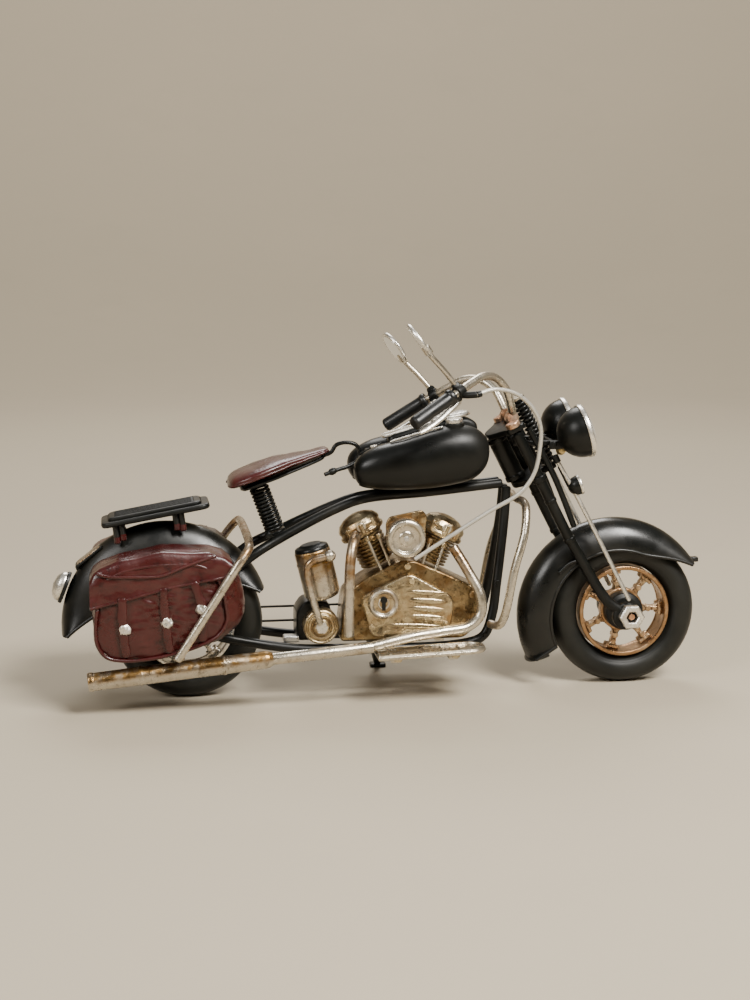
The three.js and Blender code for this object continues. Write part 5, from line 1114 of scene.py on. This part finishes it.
spring = [(coil(head_point(11.4, 0, -8.6), head_point(11.4, 0, 14.4), 2.4, 0.55, 17), SATIN, edge_rub),
          (moved(disc((11.4, 0, 0), (0, 0, 1), -8.6, 14.0, 1.25, 20), LEAN, HEAD), SATIN),
          (moved(disc((11.4, 0, 0), (0, 0, 1), 13.6, 14.5, 2.3, 24), LEAN, HEAD), SILVER)]
piece("fork_coil", "steering", spring, ["fork_spring"])

FORK_HALF = 9.4
for side, word in SIDES:
    y = side * FORK_HALF
    path = [head_point(5.2, y, 6.2), head_point(5.2, y, -12), head_point(5.2, y, -31.0),
            head_point(5.4, y, -33.5), (132, y, 28.1), (136.4, y, 24.9)]
    leg = [(tube(path, 1.7, 22), SATIN, edge_rub)]
    for low, high, r in ((-18.6, -17.4, 1.95), (-32.6, -31.2, 1.98), (-10.9, -9.1, 2.5)):
        leg.append((disc(head_point(5.2, y, 0), HEAD_AXIS, low, high, r, 24, 0.3), SATIN, edge_rub))
    eye_plate = turned([(-1.5, 0), (-1.5, 3.9), (-1.1, 4.4), (1.1, 4.4), (1.5, 3.9), (1.5, 0)],
                       (138.2, y, 23.1), ACROSS, 40, 0.3)
    leg.append((eye_plate, SATIN, edge_rub))
    leg.append((disc((139, side * 7.8, AXLE_Z), (0, -side, 0), 0, 1.4, 2.6, 30, 0.3), SATIN))
    piece(f"fork_tube_{word}", "steering", leg, [f"fork_leg_{word}"])
    rod = [head_point(12.6, y, -7), head_point(13.1, side * 10.4, -20), (138.6, side * 11.8, 28.5)]
    rods = [(tube(rod, 0.7, 14), BRIGHT, edge_rub),
            (tube([head_point(9.2, y, 5.5), head_point(9.6, y, -12), head_point(8.2, side * 9.8, -29)],
                  0.95, 14), SATIN)]
    rods.append((disc(head_point(12.6, y, -7), HEAD_AXIS, -1.2, 1.2, 1.15, 16, 0.2), SATIN))
    piece(f"fork_thin_rod_{word}", "steering", rods, [f"fork_rod_{word}"])

axle = [(disc((139, 0, AXLE_Z), ACROSS, -13.7, 13.7, 1.0, 24, 0.2), COPPER)]
for side, word in SIDES:
    hexagon = np.array([(0.0, 1.95), (0.0, 3.55), (0.4, 4.04), (2.8, 4.04), (3.2, 3.6), (3.2, 2.3),
                        (2.9, 1.95)])
    shape = hoop(hexagon, (0, 0, 0), ACROSS, 6)
    shape["v"] = shape["v"] * (1, side, 1) + (139, side * 11.45, AXLE_Z)
    axle.append((outward(shape), BRIGHT, lambda p: np.clip(0.3 + ripple(p, 2.2, 18), 0, 1)))
    axle.append((disc((139, side * 11.5, AXLE_Z), (0, side, 0), 0, 0.9, 2.0, 24, 0.1), SATIN))
piece("axle_and_nuts", "steering", axle, ["front_axle"], 25)

# %% [markdown]
# The handlebar is one bent tube, clamped at its middle and swept back. The black grips end in a collar,
# a flat lever lies below each, and a round mirror stands on a bent stem from each side. The whole bar
# sits seven degrees out of level, bent down on the left.

# %% Handlebar, grips, levers and mirrors
BAR_MID = head_point(7, 0, 10.45)
bar_tip = math.radians(-7)
LEVEL = np.array([[1, 0, 0], [0, math.cos(bar_tip), -math.sin(bar_tip)],
                  [0, math.sin(bar_tip), math.cos(bar_tip)]])


def on_bar(patch):
    """Turned about the middle of the bar by its small slope."""
    z = np.array([0, 0, BAR_MID[2]])
    return moved({**patch, "v": patch["v"] - z}, LEVEL, z)


half = [(BAR_MID[0], 3.8, BAR_MID[2]), (BAR_MID[0] - 0.6, 5.6, BAR_MID[2] + 2.4), (99, 8.4, 94.6),
        (95.4, 11.4, 97.8), (91.1, 15, 98.4), (86.2, 18.8, 96.2), (82.6, 21.6, 94.0), (80.4, 23.2, 92.7),
        (68, 28.8, 84.6)]
whole = np.vstack([on_side(half, -1)[::-1], [BAR_MID], on_side(half, 1)])
bar_rub = lambda p: np.clip((96 - p[:, 2]) / 8, 0, 1) * 0.45 + 0.35 * ripple(p, 10, 23)
piece("bars", "steering", [(on_bar(tube(whole, BAR, 20)), SILVER, bar_rub)], ["handlebar"])
for side, word in SIDES:
    front, rear = on_side([(79.6, 23.6, 92.3), (66.6, 29.5, 83.9)], side)
    way = unit(rear - front)
    long = float(np.linalg.norm(rear - front))
    shape = [(0, 1.6), (0, 2.25), (0.5, 2.5), (1.4, 2.5), (1.9, 2.15), (2.6, 2.1), (long - 1.0, 2.2),
             (long - 0.3, 2.0), (long, 1.5), (long, 0)]
    grip = [(on_bar(turned([(0, 0)] + shape, front, way, 32, 0.2)), GRIP, edge_rub)]
    piece(f"grip_sleeve_{word}", "steering", grip, [f"grip_{word}"])
    lever = on_side([(81.6, 21.4, 91.0), (79.6, 23.0, 89.0), (75.0, 26.0, 85.2), (70.2, 28.2, 82.2),
                     (68.4, 28.8, 81.4)], side)
    block = [(on_bar(tube(lever, [1.1, 0.95, 0.8, 0.8, 0.6], 14, 8, 1.15, 0.8, (0.3, side * 0.6, 0.75))),
              BRIGHT, edge_rub)]
    clamp = on_side([(81.8, 22.2, 93.6), (80.9, 22.8, 93.1)], side)
    block.append((on_bar(disc(clamp[0], clamp[1] - clamp[0], -1.4, 1.3, 2.0, 24, 0.3)), SATIN))
    block.append((on_bar(tube(on_side([(81.4, 22.4, 92.8), (81.6, 21.8, 90.8)], side), 1.2, 14)), SATIN))
    block.append((on_bar(disc(np.array([81.8, side * 20.6, 91.2]), (0, side, 0), -0.4, 1.6, 0.9, 16, 0.15)),
                  BRIGHT))
    piece(f"lever_{word}", "steering", block, ())
    centre, face = np.array([69.6, side * 24.4, 109.0]), unit((0.806, side * 0.1, 0.592))
    shell = turned([(-0.55, 0), (-0.55, 5.2), (-0.75, 5.5), (-0.6, 6.0), (0, 6.15), (0.5, 5.9), (0.6, 5.2),
                    (0.75, 0)], centre, face, 48, 0.15)
    mirror = [(on_bar(shell), BRIGHT, bar_rub),
              (on_bar(disc(centre, face, -0.68, -0.5, 5.1, 48, 0.05)), GLASS)]
    stem = on_side([(71.8, 24.4, 106.2), (72.8, 24.4, 104.6), (77.4, 23.4, 99.6), (80.8, 22.3, 95.4)], side)
    mirror.append((on_bar(tube(stem, 0.85, 14)), SILVER, bar_rub))
    mirror.append((on_bar(disc(stem[0], stem[1] - stem[0], -1.2, 1.6, 1.35, 16, 0.3)), SILVER, bar_rub))
    mirror.append((on_bar(turned([(-1.1, 0), (-0.9, 0.9), (0, 1.4), (0.9, 0.9), (1.1, 0)], stem[-1],
                                 (0, side, 0.3), 20)), SATIN))
    piece(f"mirror_round_{word}", "steering", mirror, [f"mirror_{word}"])

# %% [markdown]
# Twin headlights: black bowls with silver rims and a shallow domed glass. A small spot lamp and a
# brass knob hang on the bracket between and below them.

# %% Lamps
for side, word in SIDES:
    lamp_tilt = math.radians(16)
    facing = (math.cos(lamp_tilt), 0, math.sin(lamp_tilt))
    centre = (122.6, side * 11, 82.3)
    c = np.linspace(0, np.pi / 2, 14)
    bowl = np.vstack([np.stack([-8 * np.cos(c), 8 * np.sin(c)], -1), [(0.5, 8.1), (0.7, 7.2), (0.7, 0)]])
    ring = eased([(0.1, 7.9), (0.1, 8.45), (0.7, 8.55), (1.5, 8.4), (1.9, 7.9), (1.9, 7.3), (1.4, 7.2),
                  (1.2, 7.6)], 0.25, 3, True)
    glass = [(0.7, 0), (0.7, 7.5), (1.5, 7.3), (2.4, 5.9), (3.2, 3.6), (3.6, 0)]
    lamp = [(turned(bowl, centre, facing, 56), SATIN, edge_rub),
            (hoop(ring, centre, facing, 72), BRIGHT, edge_rub),
            (turned(glass, centre, facing, 48, 0.8), LENS)]
    lamp.append((brick(112.6, 116.8, side * 9.4 - 1.2, side * 9.4 + 1.2, 76.8, 79.4, 0.4), SATIN))
    piece(f"lamp_{word}", "steering", lamp, [f"headlight_{word}"])
c = np.linspace(0, np.pi / 2, 8)
small = np.vstack([np.stack([-3.0 * np.cos(c), 3.0 * np.sin(c)], -1), [(0.6, 3.1), (0.9, 2.7), (0.9, 0)]])
spot_at, spot_way = (121.6, -9.6, 65.2), (0.94, 0, 0.34)
spot = [(turned(small, spot_at, spot_way, 32), SATIN, edge_rub),
        (hoop(eased([(0.2, 2.7), (0.4, 3.2), (1.2, 3.2), (1.3, 2.7)], 0.2, 2, True), spot_at, spot_way, 40),
         BRIGHT), (turned([(0.8, 0), (0.8, 2.7), (1.4, 1.6), (1.6, 0)], spot_at, spot_way, 32, 0.4), LENS),
        (tube([head_point(12.6, -9.4, -9.5), (119.2, -9.6, 65.0)], 0.8, 12), SATIN),
        (turned([(-1.4, 0), (-1.2, 1.2), (0, 1.8), (1.2, 1.2), (1.4, 0)], (116.6, -8.2, 76.4), (0.2, -1, 0),
                24, 0.2), BRASS)]
piece("spot_lamp", "steering", spot, ())

# %% [markdown]
# The throttle cable is fixed at both ends: it leaves a black ferrule by the right grip, swings round
# in front of the head and ends at the carburettor.

# %% Throttle cable
ROUTE = np.array([(86.4, -24.8, 95.6), (92.4, -23.4, 97.0), (99.6, -21.4, 95.2), (105.2, -19.8, 90.2),
                  (107.6, -18.6, 84.6), (107.6, -17.6, 77.6), (106.2, -16.8, 70.4), (102.1, -16.2, 64.4),
                  (92.1, -15.6, 58.4), (80, -15.2, 50.8), (69.5, -14.6, 44)])
cable = piece("cable_loop", None, [(tube(ROUTE, 0.65, 14, 10), CABLE)], ["throttle_cable"])
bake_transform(cable)
ferrule = [(tube([(82.2, -20.9, 95.2), (84.2, -23.2, 95.4), (86.8, -24.8, 95.7)], 1.05, 16), SATIN),
           (disc(ROUTE[0], ROUTE[1] - ROUTE[0], 0.2, 1.6, 1.0, 16, 0.2), SATIN)]
piece("cable_ferrule", "steering", ferrule, ())

# %% [markdown]
# The clockwork, the belt and the rear axle keep the plain nodes of the frame, since they are hardly
# seen. They get the same worked finishes as everything else.

# %% Finishes on the nodes that stay
KEPT = {"rear_axle": STEEL, "drive_gear": BRASS, "mainspring": STEEL, "output_shaft": STEEL,
        "winding_arbor": STEEL, "drive_belt": TYRE}
for name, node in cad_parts.items():
    for held in node.material_slots:
        held.link = "OBJECT"
        held.material = KEPT.get(name, SATIN)
print("kept nodes:", ", ".join(KEPT))

# %% [markdown]
# The stage is a plain pale floor that curves up all round. The main light is soft and comes from above
# the front right. A weaker one fills from the left, one lies behind, and a wide one washes the paper at
# the back. The sky is even and pale.

# %% Stage and light
PAPER = finish("pale_paper", (0.41, 0.352, 0.262), (0.43, 0.368, 0.275), (0.385, 0.332, 0.248), 0.0, 0.85,
               patch=4, grain=60, bump=0.02, show=0.5, dirt=0.3, spread=0.05)
ROUND = 96
away = np.concatenate([[0.0], np.linspace(0.2, 3.4, 70)])[:, None]
round_ = np.linspace(0, 2 * np.pi, ROUND, endpoint=False)[None]
rise_out = 1.0 * np.clip((away - 0.9) / 1.4, 0, 3) ** 2.0
bowl = np.stack(np.broadcast_arrays(0.06 + away * np.cos(round_), away * np.sin(round_), rise_out), -1)
i, j = np.arange(len(bowl) - 1)[:, None], np.arange(ROUND)[None]
here, beside = i * ROUND + j, i * ROUND + (j + 1) % ROUND
quads = np.stack([here, here + ROUND, beside + ROUND, beside], -1).reshape(-1, 4)
paper = bpy.data.meshes.new("floor")
paper.from_pydata(bowl.reshape(-1, 3).tolist(), [], quads.tolist())
paper.polygons.foreach_set("use_smooth", np.ones(len(quads), bool))
paper.materials.append(PAPER)
floor = bpy.data.objects.new("floor", paper)
bpy.context.scene.collection.objects.link(floor)


def soft_light(name, at, aim, power_, size, colour):
    """A square area light that faces a point."""
    light = bpy.data.lights.new(name, "AREA")
    light.energy, light.size, light.color = power_, size, colour
    obj = bpy.data.objects.new(name, light)
    obj.location = at
    obj.rotation_euler = (Vector(aim) - Vector(at)).to_track_quat("-Z", "Y").to_euler()
    bpy.context.scene.collection.objects.link(obj)


MIDDLE = (0.06, 0.0, 0.05)
soft_light("key", (0.34, -0.46, 0.60), MIDDLE, 12.5, 0.28, (1.0, 0.97, 0.92))
soft_light("fill", (-0.5, -0.45, 0.45), MIDDLE, 3.2, 0.28, (1.0, 0.98, 0.95))
soft_light("back", (0.1, 0.6, 0.7), MIDDLE, 4.5, 0.4, (1.0, 0.98, 0.95))
soft_light("paper_wash", (0.2, 0.9, 1.6), (0.2, 2.4, 0.5), 26.0, 0.9, (1.0, 0.96, 0.90))
world = bpy.data.worlds.new("sky")
world.use_nodes = True
world.node_tree.nodes["Background"].inputs["Color"].default_value = (0.92, 0.90, 0.86, 1)
world.node_tree.nodes["Background"].inputs["Strength"].default_value = 0.3
bpy.context.scene.world = world
print("triangles made:", made_triangles)
